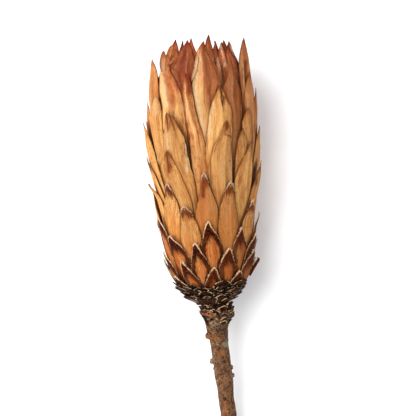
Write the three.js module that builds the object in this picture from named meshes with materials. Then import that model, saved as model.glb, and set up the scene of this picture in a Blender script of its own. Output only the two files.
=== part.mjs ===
// Dried protea flower head on its cut stem, lying on its side.
// Millimetres, +Z up, +Y towards the tips of the bracts; origin under the
// middle of the bounding box, at the level the flower rests on.
//
// The head is described in head coordinates: height h up the head's own axis,
// angle a round it (0 = straight up, + = towards +X) and depth layer d, counted
// inwards from the lowest outer whorl. skin(d, h, a) is the outer radius of a
// bract of layer d at that place; the layers never cross.
import * as THREE from "three";

const LEAN = 3.05;            // lean of the head axis in plan, degrees towards -X
const RISE = 0.0612;          // rise of the head axis per mm towards the tips
const AXIS_Z = 17.5;          // height of the axis at the base of the head
const PITCH = 0.72;           // depth from one layer to the next
const THICK = 0.40;           // bract thickness
const RELAX = 9.0;            // depth over which the pressed underside eases out
const SHIFT = [3.4, -9.09, -0.395];   // puts the origin under the middle of the box

// outline of the closed head: [height, radius]
const OUTLINE = [[-6,4.2],[-2.3,5.4],[0,7],[2.7,10],[6.5,13.5],[10.3,15.4],[17.9,17.4],[25.5,18.6],
  [36.9,20],[44.5,21.1],[52,21.7],[60,21.9],[75,21.7],[82.5,20.8],[90,19.3],[96,18],[102,16.6]];
// woody receptacle and the packed florets above it: [height, radius]
const RECEPTACLE = [[-2.6,4.4],[0,5.9],[3,8],[6,8.9],[10,8.8],[15,7.9],[19,6.4],[22,4.2],[24,0]];
const FLORETS = [[24.5,0],[26,5],[30,9],[36,11],[46,13.2],[56,14.2],[66,14.2],[74,12.8],[80,10.5],[85,7],[88,3],[89,0]];
// stem, from the neck down: [y, x, z, radius]
const STEM = [[-3,1.75,17.25,5.3],[-3.8,1.78,17.2,6.0],[-5.6,1.88,17,5.8],[-7.7,1.94,16.75,5.2],[-10,1.98,16.45,4.5],[-12,2.03,16.2,4.12],
  [-14.3,2.3,15.85,3.9],[-16.6,2.64,15.5,3.67],[-19.8,3.1,15,3.42],[-23.2,3.61,14.4,3.34],[-26.5,4,13.75,3.3],
  [-29.8,4.41,13.1,3.38],[-33,4.82,12.4,3.2],[-36.4,5.24,11.65,3.04],[-40.8,5.8,10.7,2.95],[-45.2,6.38,9.75,2.9],
  [-52,7.3,8.3,2.95],[-60,8.35,6.7,2.92],[-70,9.6,4.95,2.9],[-80,10.8,3.21,2.85]];
// leaf-base stubs and buds on the stem: [y, angle, height, length along, half angle]
const STUBS = [[-5.5,-60,0.9,2.2,22],[-6.4,-15,0.7,2.0,18],[-6.0,30,0.9,2.0,20],[-7.0,78,0.9,2.2,20],[-7.5,150,0.8,2.4,24],
  [-14.2,-72,1.0,2.0,22],[-18,40,0.5,2.2,24],[-21.3,12,0.5,2.6,26],[-24,-78,1.2,2.0,22],[-26.9,-60,0.7,1.4,18],[-27.2,82,0.9,1.6,20],
  [-30.2,72,0.7,1.5,20],[-38.5,-20,0.7,2.4,24],[-43,20,0.4,2.4,24],[-51,100,0.8,2.0,22],[-58,-40,0.7,2.2,22],[-67,60,0.7,2.2,22]];

// name, depth layer, kind, foot height, tip [height, angle], outline stations [height, left angle, right angle]
const BRACTS = [
  ["bract_mid_front_1", 3, "mid", 3.8, [34.8,-25.6], [[33.4,-31.7,-19.9],[31.5,-33.1,-17],[29.6,-34.4,-14.6],[27.7,-36,-12.4],[25.5,-37.8,-10.2],[23.2,-39.4,-9.2],[20.9,-40.1,-10.1],[17.9,-37.7,-14.6]]],
  ["bract_mid_under_1", 3, "mid", 3.8, [35.5,-171], [[33.9,-174.9,-166.8],[31.5,-178.3,-163.1],[27.5,-182.4,-158.4],[23.5,-185.3,-154.8],[17.5,-187.6,-151.7],[9.5,-188.5,-149.5]]],
  ["bract_mid_right_1", 3, "mid", 4, [35.9,60.4], [[33.8,56.7,67.3],[31.9,53.7,73],[30,50.3,78],[28.1,47.5,78],[25.8,46.3,78.6],[23.2,47.2,78],[20.1,51.1,78]]],
  ["bract_mid_right_2", 3, "mid", 3.8, [36,112], [[34.4,107.8,115.9],[32,104.1,119.2],[28,99.3,123.2],[24,95.8,126.1],[18,92.6,128.2],[10,90.5,128.9]]],
  ["bract_mid_left_2", 3, "mid", 3.8, [42,-100], [[40.4,-103.9,-96.1],[38,-107.2,-92.7],[34,-111.4,-88.4],[30,-114.4,-85.2],[24,-116.7,-82.7],[16,-117.1,-82]]],
  ["bract_mid_front_2", 3, "mid", 3.8, [43,25.7], [[41.4,21.7,30.1],[39.5,19.6,31.2],[37.6,17.7,32.5],[35.7,16,33.9],[33.8,14.5,35.4],[31.5,13.3,37.1],[28.5,12.3,39.2],[25.5,12.2,40.7],[21.7,14.6,40.7]]],
  ["bract_mid_left_1", 4, "mid", 5, [38,-133], [[36.4,-137.3,-129.3],[34,-141.3,-126.4],[30,-146.5,-122.9],[26,-150.5,-120.6],[20,-154.4,-119.3],[12,-157.1,-120]]],
  ["bract_mid_under_2", 4, "mid", 5, [38.5,150], [[36.9,145.7,153.7],[34.5,141.9,156.7],[30.5,136.8,160.4],[26.5,133,162.8],[20.5,129.4,164.3],[12.5,127,163.9]]],
  ["bract_mid_front_3", 4, "mid", 5, [43.6,-43.4], [[42.2,-48.4,-40.3],[40.3,-50.8,-38.6],[38.4,-53.7,-37],[36.5,-57,-35.2],[34.6,-60.4,-34.1],[32.3,-64.8,-34.1],[29.3,-70.9,-35.2],[26.2,-75.3,-37.5],[22.4,-76.7,-40.8]]],
  ["bract_mid_front_4", 4, "mid", 5, [46.9,-1.6], [[45.2,-4.8,1.4],[43.3,-5.6,2.9],[41.4,-6.4,4.8],[39.5,-7.5,6.8],[37.6,-9.4,8.9],[35.7,-11.3,11.2],[33.8,-13,12.8],[31.5,-14.8,13.6],[28.5,-16.4,13.4],[24.7,-16.8,11.9],[20.9,-14.7,9.6]]],
  ["bract_mid_right_4", 4, "mid", 5, [50.5,80], [[48.9,75,83.7],[46.5,70.4,86.4],[42.5,64.5,89.1],[38.5,60,90.4],[32.5,55.8,89.8],[24.5,53.3,85.9],[10.5,49.5,78.5]]],
  ["bract_mid_left_3", 5, "mid", 6, [44.1,-78], [[42.5,-82.3,-73.7],[40.1,-86,-70],[36.1,-90.3,-65.7],[32.1,-93.2,-62.8],[26.1,-95,-61],[18.1,-94.3,-61.7]]],
  ["bract_mid_under_3", 5, "mid", 6, [47,-152], [[45.4,-155.8,-148.2],[43,-159,-145],[39,-163.1,-140.8],[35,-166.1,-137.8],[29,-168.3,-135.5],[21,-168.6,-135.2]]],
  ["bract_mid_right_3", 5, "mid", 6, [47.5,131], [[45.9,127.1,134.7],[43.5,123.8,137.7],[39.5,119.4,141.6],[35.5,116.1,144.3],[29.5,113.4,146.2],[21.5,112.7,145.9]]],
  ["bract_mid_front_5", 5, "mid", 6, [56.2,-39.4], [[54.3,-44.7,-35.6],[52.1,-46.5,-32.7],[49.8,-47.4,-30.1],[47.5,-47.9,-27.4],[45.2,-47.7,-25],[42.9,-46.8,-22.8],[40.7,-45.4,-20.9],[38,-43.8,-19.3],[34.6,-41.5,-17.8]]],
  ["bract_mid_right_5", 5, "mid", 6, [58.1,51.7], [[55.9,48.9,54.3],[54,47.1,55.7],[52.1,43.7,56.9],[50.2,40.9,58.7],[48.3,38.4,60.2],[46,35.6,61.7],[43.7,33.9,63],[41.4,33.5,64.5],[38.8,34.2,66.4],[35.7,36,68.7],[32.3,39.3,70.9]]],
  ["bract_long_front_1", 5, "long", 6, [66.3,24], [[64.6,20.6,26.2],[62.7,18.1,27.7],[60.8,15.3,28.6],[58.9,12.6,29],[56.6,9.4,29.1],[54.3,7.2,29.3],[52.1,6.1,29.4],[49,5.6,29.9],[46,5.6,30.5],[42.9,5.9,31.2],[39.9,7.1,31.9],[36.1,9.7,32.4]]],
  ["bract_mid_under_4", 6, "mid", 7, [49.5,169], [[47.9,164.9,172.4],[45.5,161.2,175],[41.5,156.3,178.2],[37.5,152.5,180.2],[31.5,148.9,181.2],[23.5,146.9,179.6],[9.5,142.8,177.5]]],
  ["bract_mid_left_4", 6, "mid", 7, [53,-116], [[51.4,-120.1,-112.7],[49,-123.7,-110.1],[45,-128.5,-107.2],[41,-132.3,-105.2],[35,-136,-104.4],[27,-137.9,-106.1],[13,-141.5,-109]]],
  ["bract_mid_left_5", 6, "mid", 7, [54,-84], [[52.4,-87.7,-79],[50,-90.4,-74.4],[46,-93.1,-68.5],[42,-94.4,-64],[36,-93.8,-59.8],[28,-89.9,-57.3],[14,-82.5,-53.5]]],
  ["bract_long_right_1", 6, "long", 7, [61,107], [[59.2,103.3,110.6],[56.5,99.8,113.9],[52.5,95.4,118],[47,91.9,121.2],[39,90.2,122.3],[25,89.7,121.9]]],
  ["bract_mid_front_6", 6, "mid", 7, [63.2,42.9], [[61.6,39.5,45.5],[59.7,38,48.6],[57.4,36.9,51.9],[54.7,35.7,54.7],[51.7,34.7,57.4],[48.3,34.7,60.3]]],
  ["bract_long_front_2", 6, "long", 7, [70.5,-36.2], [[68.8,-38.9,-30.9],[66.9,-40.3,-27.8],[65,-42.1,-25.5],[63.1,-44.1,-23.1],[60.8,-45.7,-20.2],[58.5,-47.2,-18.4],[55.9,-47.7,-17.1],[52.8,-47.1,-15.8],[49,-44.5,-14.6],[45.2,-41,-13.3],[40.7,-36.3,-12.1]]],
  ["bract_long_front_3", 6, "long", 7, [79.6,18.9], [[77.9,16.4,21.5],[76,13.9,24],[74.1,11.4,26.5],[72.2,9.4,29.5],[70.3,8.1,31.3],[68,6.6,31.8],[65,5,31.7],[61.2,3.3,31],[57.4,2.2,30.4],[53.6,1.8,29.8],[49.8,2.4,29.4],[45.2,4,28.6]]],
  ["bract_long_under_1", 7, "long", 8.2, [60,147], [[58.2,143,150.3],[55.5,139,153],[51.5,133.8,156.5],[46,129.3,158.7],[38,126.1,158.4],[24,123,155.5]]],
  ["bract_long_under_2", 7, "long", 8.2, [63,-176], [[61.2,-180,-172.7],[58.5,-183.9,-169.9],[54.5,-189,-166.4],[49,-193.4,-164.3],[41,-196.3,-164.7],[27,-199.3,-167.4]]],
  ["bract_long_right_2", 7, "long", 8.2, [64,82], [[62.2,78.6,86.9],[59.5,75.8,91.8],[55.5,72.6,98.2],[50,71.3,103.9],[42,73.8,107.8],[28,80.8,112]]],
  ["bract_long_under_3", 7, "long", 8.2, [65,-137], [[63.2,-140.7,-133.4],[60.5,-144.2,-130.2],[56.5,-148.6,-126],[51,-152,-123.1],[43,-153.4,-122.2],[29,-154.1,-122.6]]],
  ["bract_long_left_1", 7, "long", 8.2, [67.5,-86], [[65.7,-89,-81.6],[63,-91.2,-77.2],[59,-93.9,-71.3],[53.5,-94.8,-66],[45.5,-92.2,-62.2],[31.5,-85.4,-57.8]]],
  ["bract_long_right_3", 7, "long", 8.2, [70.9,53.4], [[69.2,50,56.5],[67.3,47.7,58.7],[65,46,60.6],[62.3,45.5,62.2],[59.3,45.6,63.2]]],
  ["bract_tall_front_1", 7, "tall", 8.2, [85.1,-15.4], [[83.6,-17.3,-12.2],[81.7,-17.9,-10.5],[79.4,-18.5,-10.4],[76.8,-18.7,-10.6],[73.7,-18.1,-10.9],[70.3,-17.4,-10.3],[66.9,-16.8,-8.3],[63.5,-16,-4.9],[59.7,-15.1,-2.1],[55.9,-14.3,0.1],[52.1,-13.4,2.1],[47.5,-11.8,3.8],[42.2,-9.1,4.7]]],
  ["bract_long_left_2", 8, "long", 9.5, [68,-103], [[66.2,-106.4,-99.1],[63.5,-109.3,-95.3],[59.5,-112.8,-90.4],[54,-115.1,-86.3],[46,-114.8,-84.1],[32,-112.5,-81.7],[8,-111.3,-75.1]]],
  ["bract_long_under_4", 8, "long", 9.5, [74,164], [[72.2,160.1,167.4],[69.5,156.4,170.4],[65.5,151.6,174.1],[60,147.8,176.3],[52,145.9,176],[38,144.2,173.9],[14,139.7,171.7]]],
  ["bract_long_right_4", 8, "long", 9.8, [75,127], [[73.2,123,130.3],[70.5,119.1,133.2],[66.5,114.1,136.7],[61,110.1,138.6],[53,107.9,137.9],[39,105.5,135],[15,99.9,131.5]]],
  ["bract_long_under_5", 8, "long", 9.5, [77,-158], [[75.2,-161.6,-154.2],[72.5,-164.7,-150.7],[68.5,-168.7,-146.2],[63,-171.4,-142.8],[55,-171.6,-141.6],[41,-170.2,-141.2],[17,-169.6,-138.8]]],
  ["bract_tall_right_2", 8, "tall", 9.8, [84.4,63.9], [[82.5,59.2,65.6],[80.2,55.9,67.7],[77.5,53.8,69.3],[74.5,52.6,70.9],[71.1,52.8,73.5],[66.9,53.7,76]]],
  ["bract_tall_front_2", 8, "tall", 9.8, [89.6,37.1], [[87.8,35.3,38.4],[85.5,33.5,40],[83.2,31.5,41.8],[80.6,28.5,44.4],[77.9,24.8,46.8],[74.9,23.6,47.4],[71.1,23.8,48.5],[67.3,25,48.6],[62.7,26.8,48.2],[57.4,28.8,48.2]]],
  ["bract_tall_front_3", 8, "tall", 9.5, [96.5,6.1], [[94.6,0.8,8],[92.3,-3.6,10],[90.1,-5.6,12.5],[87.8,-6.5,15.5],[85.5,-7.3,19],[83.2,-8.3,21.5],[80.6,-10,23.1],[77.9,-10.6,22.7],[74.9,-10.1,21.6],[71.1,-8.1,20.2],[67.3,-6.2,18.1],[63.5,-4.2,16],[58.9,-2.1,14.1],[53.6,0,12.7]]],
  ["bract_long_left_3", 9, "long", 10.8, [77.2,-53.6], [[75.6,-58.5,-50.3],[73.7,-64,-49.3],[71.4,-70.9,-49.3],[68.8,-78,-49.8],[65.4,-78,-50.4],[61.6,-78,-50.9],[57.8,-78,-52.1],[54,-78,-53.5],[50.2,-87.4,-55],[45.2,-87.4,-56.9]]],
  ["bract_tall_right_1", 9, "tall", 11, [78.5,84], [[76,80.8,87.2],[72,77.9,90.1],[66.5,74.4,93.6],[58.5,71.5,96.5],[46.5,71,97],[28.5,72.3,95.7]]],
  ["bract_tall_left_2", 9, "tall", 11, [87,-124], [[84.5,-128.1,-120.2],[80.5,-131.7,-117],[75,-135.6,-113.6],[67,-139.4,-110.7],[55,-140.6,-110.7],[37,-141.2,-112]]],
  ["bract_tall_under_1", 9, "tall", 10.8, [88,143], [[85.5,139.6,147.6],[81.5,137.1,151.8],[76,134.6,156.8],[68,133.1,161.8],[56,135.2,165.1],[38,139.7,168.7],[8,144.6,177.2]]],
  ["bract_tall_right_4", 9, "tall", 11, [97.7,76.6], [[96.1,68.1,78.7],[93.9,63,79.6],[91.6,58.8,78.4],[89.3,55.4,77.1],[87,52.9,75.7],[84.4,51.2,73.3],[80.9,50.3,70.7],[76.4,50.1,69.2],[71.1,51.1,69.5]]],
  ["bract_tall_left_1", 10, "tall", 12.2, [76.2,-88], [[73.7,-91.2,-84.8],[69.7,-94.1,-81.9],[64.2,-97.6,-78.4],[56.2,-100.5,-75.5],[44.2,-101,-75],[26.2,-99.7,-76.3]]],
  ["bract_tall_right_3", 10, "tall", 12.5, [87.4,69], [[84.9,66.1,71.9],[80.9,63.4,74.6],[75.4,60.2,77.8],[67.4,57.5,80.5],[55.4,57,81],[37.4,58.2,79.8]]],
  ["bract_tall_under_2", 10, "tall", 12.2, [90.5,-178], [[88,-182,-173.8],[84,-185.3,-170.2],[78.5,-188.8,-166.2],[70.5,-191.6,-162.9],[58.5,-191.7,-161.9],[40.5,-190.3,-161.8],[10.5,-190.1,-159.7]]],
  ["bract_tall_left_4", 10, "tall", 12.5, [93.3,-46.3], [[91.6,-49,-44.5],[89.3,-49.7,-41],[87,-51,-38.8],[84.4,-52.7,-35.5],[81.7,-53.9,-30.6],[78.7,-53.9,-26],[74.9,-52.4,-22.6],[71.1,-52.3,-21.3],[67.3,-52.8,-20.8],[63.5,-53.5,-20],[58.9,-53.4,-19],[53.6,-49.7,-18]]],
  ["bract_tall_left_3", 11, "tall", 13.8, [91.3,-78.8], [[89.3,-87.4,-68.6],[87,-87.4,-64.1],[84.4,-87.4,-61.7],[81.7,-87.4,-60.1],[78.7,-87.4,-58.9],[74.9,-87.4,-57.2],[70.3,-87.4,-57.1],[65,-87.4,-57.8]]],
];
// whorls whose bracts stand side by side: name, layer, kind, foot height, teeth
const WHORLS = [
  ["bract_whorl_base", 0, "low", 1, [
    [[11.2,5.6], [[10.3,-0.1,10.1],[8.4,-5.7,13.5],[6.5,-9.3,16.6],[4.6,-12.8,20.6],[3,-13.9,20.2]]],
    [[9.5,44.7], [[8.4,39,53.8],[6.5,33.8,63.2],[4.6,32.4,78]]],
    [[17.1,67.4], [[15.6,61.3,77.9],[14.1,57.1,80.9],[12.2,53.1,86.1],[10.3,50.7,87.4],[8.4,51.3,87.4],[6.5,53.4,85.7]]],
    [[14.2,96], [[13.1,89.6,102.4],[11.7,85,107],[9.8,80.6,111.4],[6.8,77,115],[2.2,77,115]]],
    [[12.5,124], [[11.3,119.3,128.7],[9.9,115.7,132.3],[8,111.7,136.3],[5,106.8,141.2]]],
    [[10.5,152], [[9.3,147.1,156.9],[7.9,143.2,160.8],[6,138.8,165.2],[3,132.8,171.2]]],
    [[13.5,-178], [[12.3,-182.6,-173.4],[10.9,-186.2,-169.8],[9,-189.9,-166.1],[6,-194.3,-161.7],[1.5,-199.7,-156.3]]],
    [[11.5,-150], [[10.3,-154.8,-145.2],[8.9,-158.6,-141.4],[7,-162.7,-137.3],[4,-168.1,-131.9]]],
    [[14,-124], [[12.8,-128.6,-119.4],[11.4,-132.1,-115.9],[9.5,-135.8,-112.2],[6.5,-139.9,-108.1],[2,-144.8,-103.2]]],
    [[15,-97], [[13.8,-103.1,-90.9],[12.4,-107.5,-86.5],[10.5,-111.6,-82.4],[7.5,-115,-79],[3,-115,-79]]],
    [[8.7,-62], [[7.5,-68.8,-55.2],[6.1,-73.6,-50.4],[4.2,-78.2,-45.8],[1.2,-82,-42]]],
    [[14.4,-37.3], [[13.3,-42.4,-34],[11.8,-44.3,-30.9],[10.3,-45,-27.5],[8.4,-46.4,-22.7],[6.5,-45.7,-18.1],[4.6,-48.8,-13.7]]],
  ]],
  ["bract_whorl_second", 1, "low", 1, [
    [[20.9,-16.7], [[19.8,-21.3,-12.7],[17.9,-23.6,-9.5],[16,-25.5,-6.7],[14.1,-27.1,-3.4],[12.2,-28,-0.7],[10.3,-27.8,0.6],[8.4,-27.4,-0.5],[6.5,-24.6,-3.5]]],
    [[18.3,25.3], [[17.1,20.1,30.3],[15.2,16,34],[13.3,13.6,37.4],[11.4,12.4,40.4],[9.5,12.9,42.5],[7.6,15.6,42.7]]],
    [[23,72], [[21.8,66.3,77.7],[20.4,62.1,81.9],[18.5,58.2,85.8],[15.5,55,89],[11,55,89]]],
    [[21.3,100], [[20.1,94.3,105.7],[18.7,90.1,109.9],[16.8,86.2,113.8],[13.8,83,117],[9.3,83,117]]],
    [[19,130], [[17.8,125.7,134.3],[16.4,122.5,137.5],[14.5,119.2,140.8],[11.5,116.1,143.9],[7,114.4,145.6]]],
    [[20.5,159], [[19.3,154.8,163.2],[17.9,151.6,166.4],[16,148.4,169.6],[13,145.4,172.6],[8.5,144.1,173.9]]],
    [[18,-172], [[16.8,-176.4,-167.6],[15.4,-179.6,-164.4],[13.5,-183,-161],[10.5,-186.1,-157.9],[6,-188.3,-155.7]]],
    [[20.5,-142], [[19.3,-146.2,-137.8],[17.9,-149.4,-134.6],[16,-152.6,-131.4],[13,-155.6,-128.4],[8.5,-156.9,-127.1]]],
    [[19.5,-112], [[18.3,-116.3,-107.7],[16.9,-119.5,-104.5],[15,-122.7,-101.3],[12,-125.8,-98.2],[7.5,-127.4,-96.6]]],
    [[17.9,-80], [[16.7,-85.7,-74.3],[15.3,-89.9,-70.1],[13.4,-93.8,-66.2],[10.4,-97,-63],[5.9,-97,-63]]],
  ]],
  ["bract_whorl_third", 2, "low", 2.5, [
    [[28.7,0.7], [[27.4,-4.1,3.8],[25.5,-6.1,7.4],[23.6,-7.8,10.9],[21.7,-9.2,14.2],[19.8,-10.2,16.9],[17.9,-10.4,18.3],[16,-9.8,18.7],[13.3,-7.4,17.4]]],
    [[25.8,42], [[24.3,38.8,47.5],[22.4,35.7,51.7],[20.5,33.5,55.9],[18.6,32.2,60.3],[16.7,32.3,64.2],[14.8,34.3,66],[12.9,38.1,65.7]]],
    [[24.1,-52.9], [[22.8,-60.3,-46.5],[20.9,-62.4,-39.8],[19,-62.6,-34.9],[17.1,-63.3,-31.5],[15.2,-64.2,-29.4],[13.3,-63.2,-28.8],[11,-58.7,-30.9]]],
    [[31.2,86], [[29.6,81.7,90.3],[27.2,78,94],[23.2,73.7,98.3],[19.2,70.8,101.2],[13.2,69,103]]],
    [[31.5,-72], [[29.9,-76.3,-67.7],[27.5,-80,-64],[23.5,-84.3,-59.7],[19.5,-87.2,-56.8],[13.5,-89,-55]]],
    [[27.5,115], [[26.3,111,119],[24.9,108,122],[23,105.1,124.9],[20,102.5,127.5],[15.5,101.9,128.1]]],
    [[29.5,144], [[28.3,140,148],[26.9,137.1,150.9],[25,134.3,153.7],[22,131.7,156.3],[17.5,131.2,156.8]]],
    [[26.5,173], [[25.3,169,177],[23.9,166,180],[22,163,183],[19,160.4,185.6],[14.5,159.7,186.3]]],
    [[29,-157], [[27.8,-161,-153],[26.4,-163.9,-150.1],[24.5,-166.8,-147.2],[21.5,-169.4,-144.6],[17,-169.9,-144.1]]],
    [[27,-127], [[25.8,-131,-123],[24.4,-134,-120],[22.5,-136.9,-117.1],[19.5,-139.6,-114.4],[15,-140.2,-113.8]]],
    [[29.5,-99], [[28.3,-103,-95],[26.9,-105.9,-92.1],[25,-108.7,-89.3],[22,-111.3,-86.7],[17.5,-111.8,-86.2]]],
  ]],
  ["crown_whorl_outer", 12, "crown", 15.5, [
    [[97.4,-19.1], [[95.8,-24,-15],[93.9,-29.5,-11.5],[91.6,-36,-8.5],[88.9,-41,-6.5],[85.5,-43,-6]]],
    [[97.9,-40.1], [[96.1,-45,-36.5],[94.2,-51,-34],[92,-57,-31],[89.3,-61,-28],[85.5,-63,-28]]],
    [[99.1,18.9], [[97.3,14,21.1],[95.4,11.1,22.4],[93.1,8.9,23.6],[90.4,7.2,24.2]]],
    [[96.1,40.9], [[94.2,35.5,44.5],[92,31.5,47],[89.3,27,49.5],[86.3,23,50]]],
    [[96.4,57.2], [[94.6,50.5,61],[92.3,46.5,63.5],[90.1,43,67],[87.8,41,70],[85.1,40,71],[81.7,40,70]]],
    [[85,66], [[82.8,62.8,69.2],[79.2,60.2,71.8],[74.2,57.6,74.4],[67.1,56,76],[54.5,55.5,76.5],[31.2,56,76]]],
    [[88,92], [[85.7,88.7,95.3],[82.1,86,98],[77.2,83.4,100.6],[70,81.9,102.1],[57.4,81.5,102.5],[34,82.1,101.9]]],
    [[86.5,120], [[84.3,116.7,123.3],[80.7,114.1,125.9],[75.7,111.5,128.5],[68.5,110,130],[55.9,109.6,130.4],[32.6,110.1,129.9]]],
    [[97.5,150], [[95,146.6,153.4],[91,143.9,156.1],[85.5,141.3,158.7],[77.5,139.8,160.2],[63.5,139.5,160.5],[37.5,140.2,159.8]]],
    [[95.5,178], [[93,174.7,181.3],[89,172,184],[83.5,169.5,186.5],[75.5,167.9,188.1],[61.5,167.6,188.4],[35.5,168.1,187.9]]],
    [[98,-152], [[95.5,-155.4,-148.6],[91.5,-158.2,-145.8],[86,-160.8,-143.2],[78,-162.2,-141.8],[64,-162.5,-141.5],[38,-161.7,-142.3]]],
    [[86,-122], [[83.8,-125.2,-118.8],[80.2,-127.9,-116.1],[75.2,-130.4,-113.6],[68,-132,-112],[55.5,-132.4,-111.6],[32.1,-132,-112]]],
    [[88.5,-94], [[86.2,-97.3,-90.7],[82.6,-100,-88],[77.7,-102.6,-85.4],[70.5,-104.1,-83.9],[57.9,-104.5,-83.5],[34.4,-103.8,-84.2]]],
    [[84,-66], [[81.8,-69.1,-62.9],[78.2,-71.7,-60.3],[73.3,-74.3,-57.7],[66.1,-76,-56],[53.6,-76.5,-55.5],[30.3,-76.1,-55.9]]],
  ]],
  ["crown_whorl_inner", 13.3, "crown", 16.8, [
    [[98.1,-13.8], [[96.1,-17.5,-10.4],[93.9,-20.4,-6.7],[91.2,-22.5,-2.6],[88.2,-23,-0.9]]],
    [[95.9,33], [[94.2,28,37],[92,24,39],[89.3,20,41]]],
    [[96.9,53.4], [[95,46.3,57.4],[92.7,42.4,60],[90.1,39.3,60]]],
    [[83,58], [[80.8,54.9,61.1],[77.2,52.3,63.7],[72.3,49.8,66.2],[65.2,48,68],[52.7,47.5,68.5],[29.5,47.8,68.2]]],
    [[85,86], [[82.8,82.8,89.2],[79.2,80.2,91.8],[74.3,77.6,94.4],[67.1,76,96],[54.6,75.5,96.5],[31.3,76,96]]],
    [[87,110], [[84.8,106.7,113.3],[81.2,104.1,115.9],[76.2,101.5,118.5],[69,100,120],[56.5,99.6,120.4],[33.1,100.1,119.9]]],
    [[92,136], [[89.5,132.9,139.1],[85.5,130.3,141.7],[80,127.7,144.3],[72,126,146],[58,125.5,146.5],[32,125.9,146.1]]],
    [[96,163], [[93.5,159.7,166.3],[89.5,157,169],[84,154.4,171.6],[76,152.9,173.1],[62,152.5,173.5],[36,153.1,172.9]]],
    [[93.5,-170], [[91,-173.2,-166.8],[87,-175.8,-164.2],[81.5,-178.4,-161.6],[73.5,-180,-160],[59.5,-180.4,-159.6],[33.5,-180,-160]]],
    [[95.5,-143], [[93,-146.3,-139.7],[89,-149,-137],[83.5,-151.5,-134.5],[75.5,-153.1,-132.9],[61.5,-153.4,-132.6],[35.5,-152.9,-133.1]]],
    [[84,-113], [[81.8,-116.1,-109.9],[78.2,-118.7,-107.3],[73.3,-121.3,-104.7],[66.1,-123,-103],[53.6,-123.5,-102.5],[30.4,-123.1,-102.9]]],
    [[87,-82], [[84.8,-85.3,-78.7],[81.2,-87.9,-76.1],[76.2,-90.5,-73.5],[69,-92,-72],[56.5,-92.4,-71.6],[33.1,-91.9,-72.1]]],
    [[85,-50], [[82.8,-53.2,-46.8],[79.2,-55.8,-44.2],[74.3,-58.4,-41.6],[67.1,-60,-40],[54.6,-60.5,-39.5],[31.3,-60,-40]]],
    [[94.5,-26], [[92,-29.3,-22.7],[88,-31.9,-20.1],[82.5,-34.5,-17.5],[74.5,-36,-16],[60.5,-36.4,-15.6],[34.5,-35.9,-16.1]]],
  ]],
];
// thickness of the pile of layers: rows every 6 mm of height, columns every 20 degrees from -180
const PILE = [
  [0.00,0.00,0.00,0.00,0.00,0.00,0.00,0.00,0.00,0.00,0.00,0.00,0.00,0.00,0.00,0.00,0.00,0.00],
  [0.16,0.15,0.15,0.16,0.17,0.16,0.13,0.11,0.12,0.13,0.13,0.12,0.11,0.11,0.12,0.13,0.14,0.15],
  [0.33,0.32,0.31,0.31,0.33,0.33,0.32,0.29,0.29,0.31,0.32,0.29,0.26,0.25,0.27,0.30,0.31,0.33],
  [0.63,0.61,0.59,0.57,0.58,0.61,0.64,0.62,0.61,0.62,0.63,0.59,0.53,0.50,0.54,0.58,0.61,0.63],
  [1.05,1.04,1.02,0.98,0.97,1.02,1.07,1.07,1.05,1.03,1.02,0.98,0.91,0.88,0.93,1.00,1.04,1.05],
  [1.57,1.57,1.56,1.52,1.49,1.51,1.56,1.59,1.56,1.49,1.45,1.42,1.37,1.34,1.39,1.49,1.56,1.58],
  [2.20,2.20,2.21,2.16,2.12,2.14,2.17,2.17,2.10,2.00,1.93,1.88,1.82,1.80,1.87,2.03,2.18,2.22],
  [2.99,2.93,2.89,2.84,2.81,2.83,2.81,2.71,2.57,2.44,2.33,2.29,2.29,2.33,2.47,2.71,2.92,3.02],
  [3.75,3.63,3.55,3.51,3.48,3.44,3.33,3.13,2.93,2.77,2.72,2.80,2.92,3.02,3.18,3.42,3.64,3.77],
  [4.36,4.26,4.19,4.18,4.13,4.02,3.79,3.52,3.31,3.20,3.30,3.48,3.60,3.68,3.83,4.05,4.25,4.38],
  [4.87,4.83,4.81,4.82,4.81,4.66,4.34,3.99,3.77,3.69,3.81,3.97,4.12,4.25,4.39,4.55,4.73,4.85],
  [5.23,5.20,5.22,5.32,5.40,5.33,5.03,4.62,4.27,4.05,4.08,4.28,4.53,4.75,4.88,5.00,5.15,5.23],
  [5.56,5.53,5.57,5.75,5.91,5.90,5.64,5.20,4.74,4.39,4.37,4.65,5.04,5.36,5.50,5.54,5.58,5.59],
  [5.92,5.90,5.98,6.21,6.42,6.44,6.17,5.67,5.14,4.78,4.79,5.17,5.65,5.96,6.03,5.96,5.93,5.93],
  [6.40,6.36,6.37,6.58,6.87,6.96,6.68,6.11,5.50,5.16,5.23,5.63,6.05,6.29,6.33,6.27,6.28,6.36],
  [6.80,6.75,6.66,6.81,7.17,7.34,7.11,6.55,5.90,5.54,5.59,5.90,6.25,6.44,6.49,6.47,6.53,6.69],
  [6.98,6.95,6.83,6.98,7.35,7.51,7.31,6.82,6.20,5.81,5.79,6.04,6.35,6.55,6.60,6.58,6.65,6.84],
  [7.08,7.05,6.95,7.12,7.48,7.61,7.41,6.92,6.31,5.92,5.89,6.13,6.44,6.64,6.69,6.67,6.74,6.93],
];
// share of its last measured half width that a bract keeps at its foot
const FOOT = { low: 0.72, mid: 0.6, long: 0.52, tall: 0.46, crown: 0.45 };
const LEVELS = [88, 78, 66, 54, 42, 32, 24, 17, 11.5, 7.5, 6, 4.5, 2.8];   // shared heights of the stations

// tips that stand out a little from the pile, mm; the flower rests on these and two of their neighbours
const FLARE = { bract_mid_under_4: 0.42, bract_long_under_4: 0.6 };
// how high each whorl is closed all round, below the separate tips
const FLOOR = { bract_whorl_base: 7.2, bract_whorl_second: 12.5, bract_whorl_third: 18.5, crown_whorl_outer: 80, crown_whorl_inner: 82 };

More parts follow.
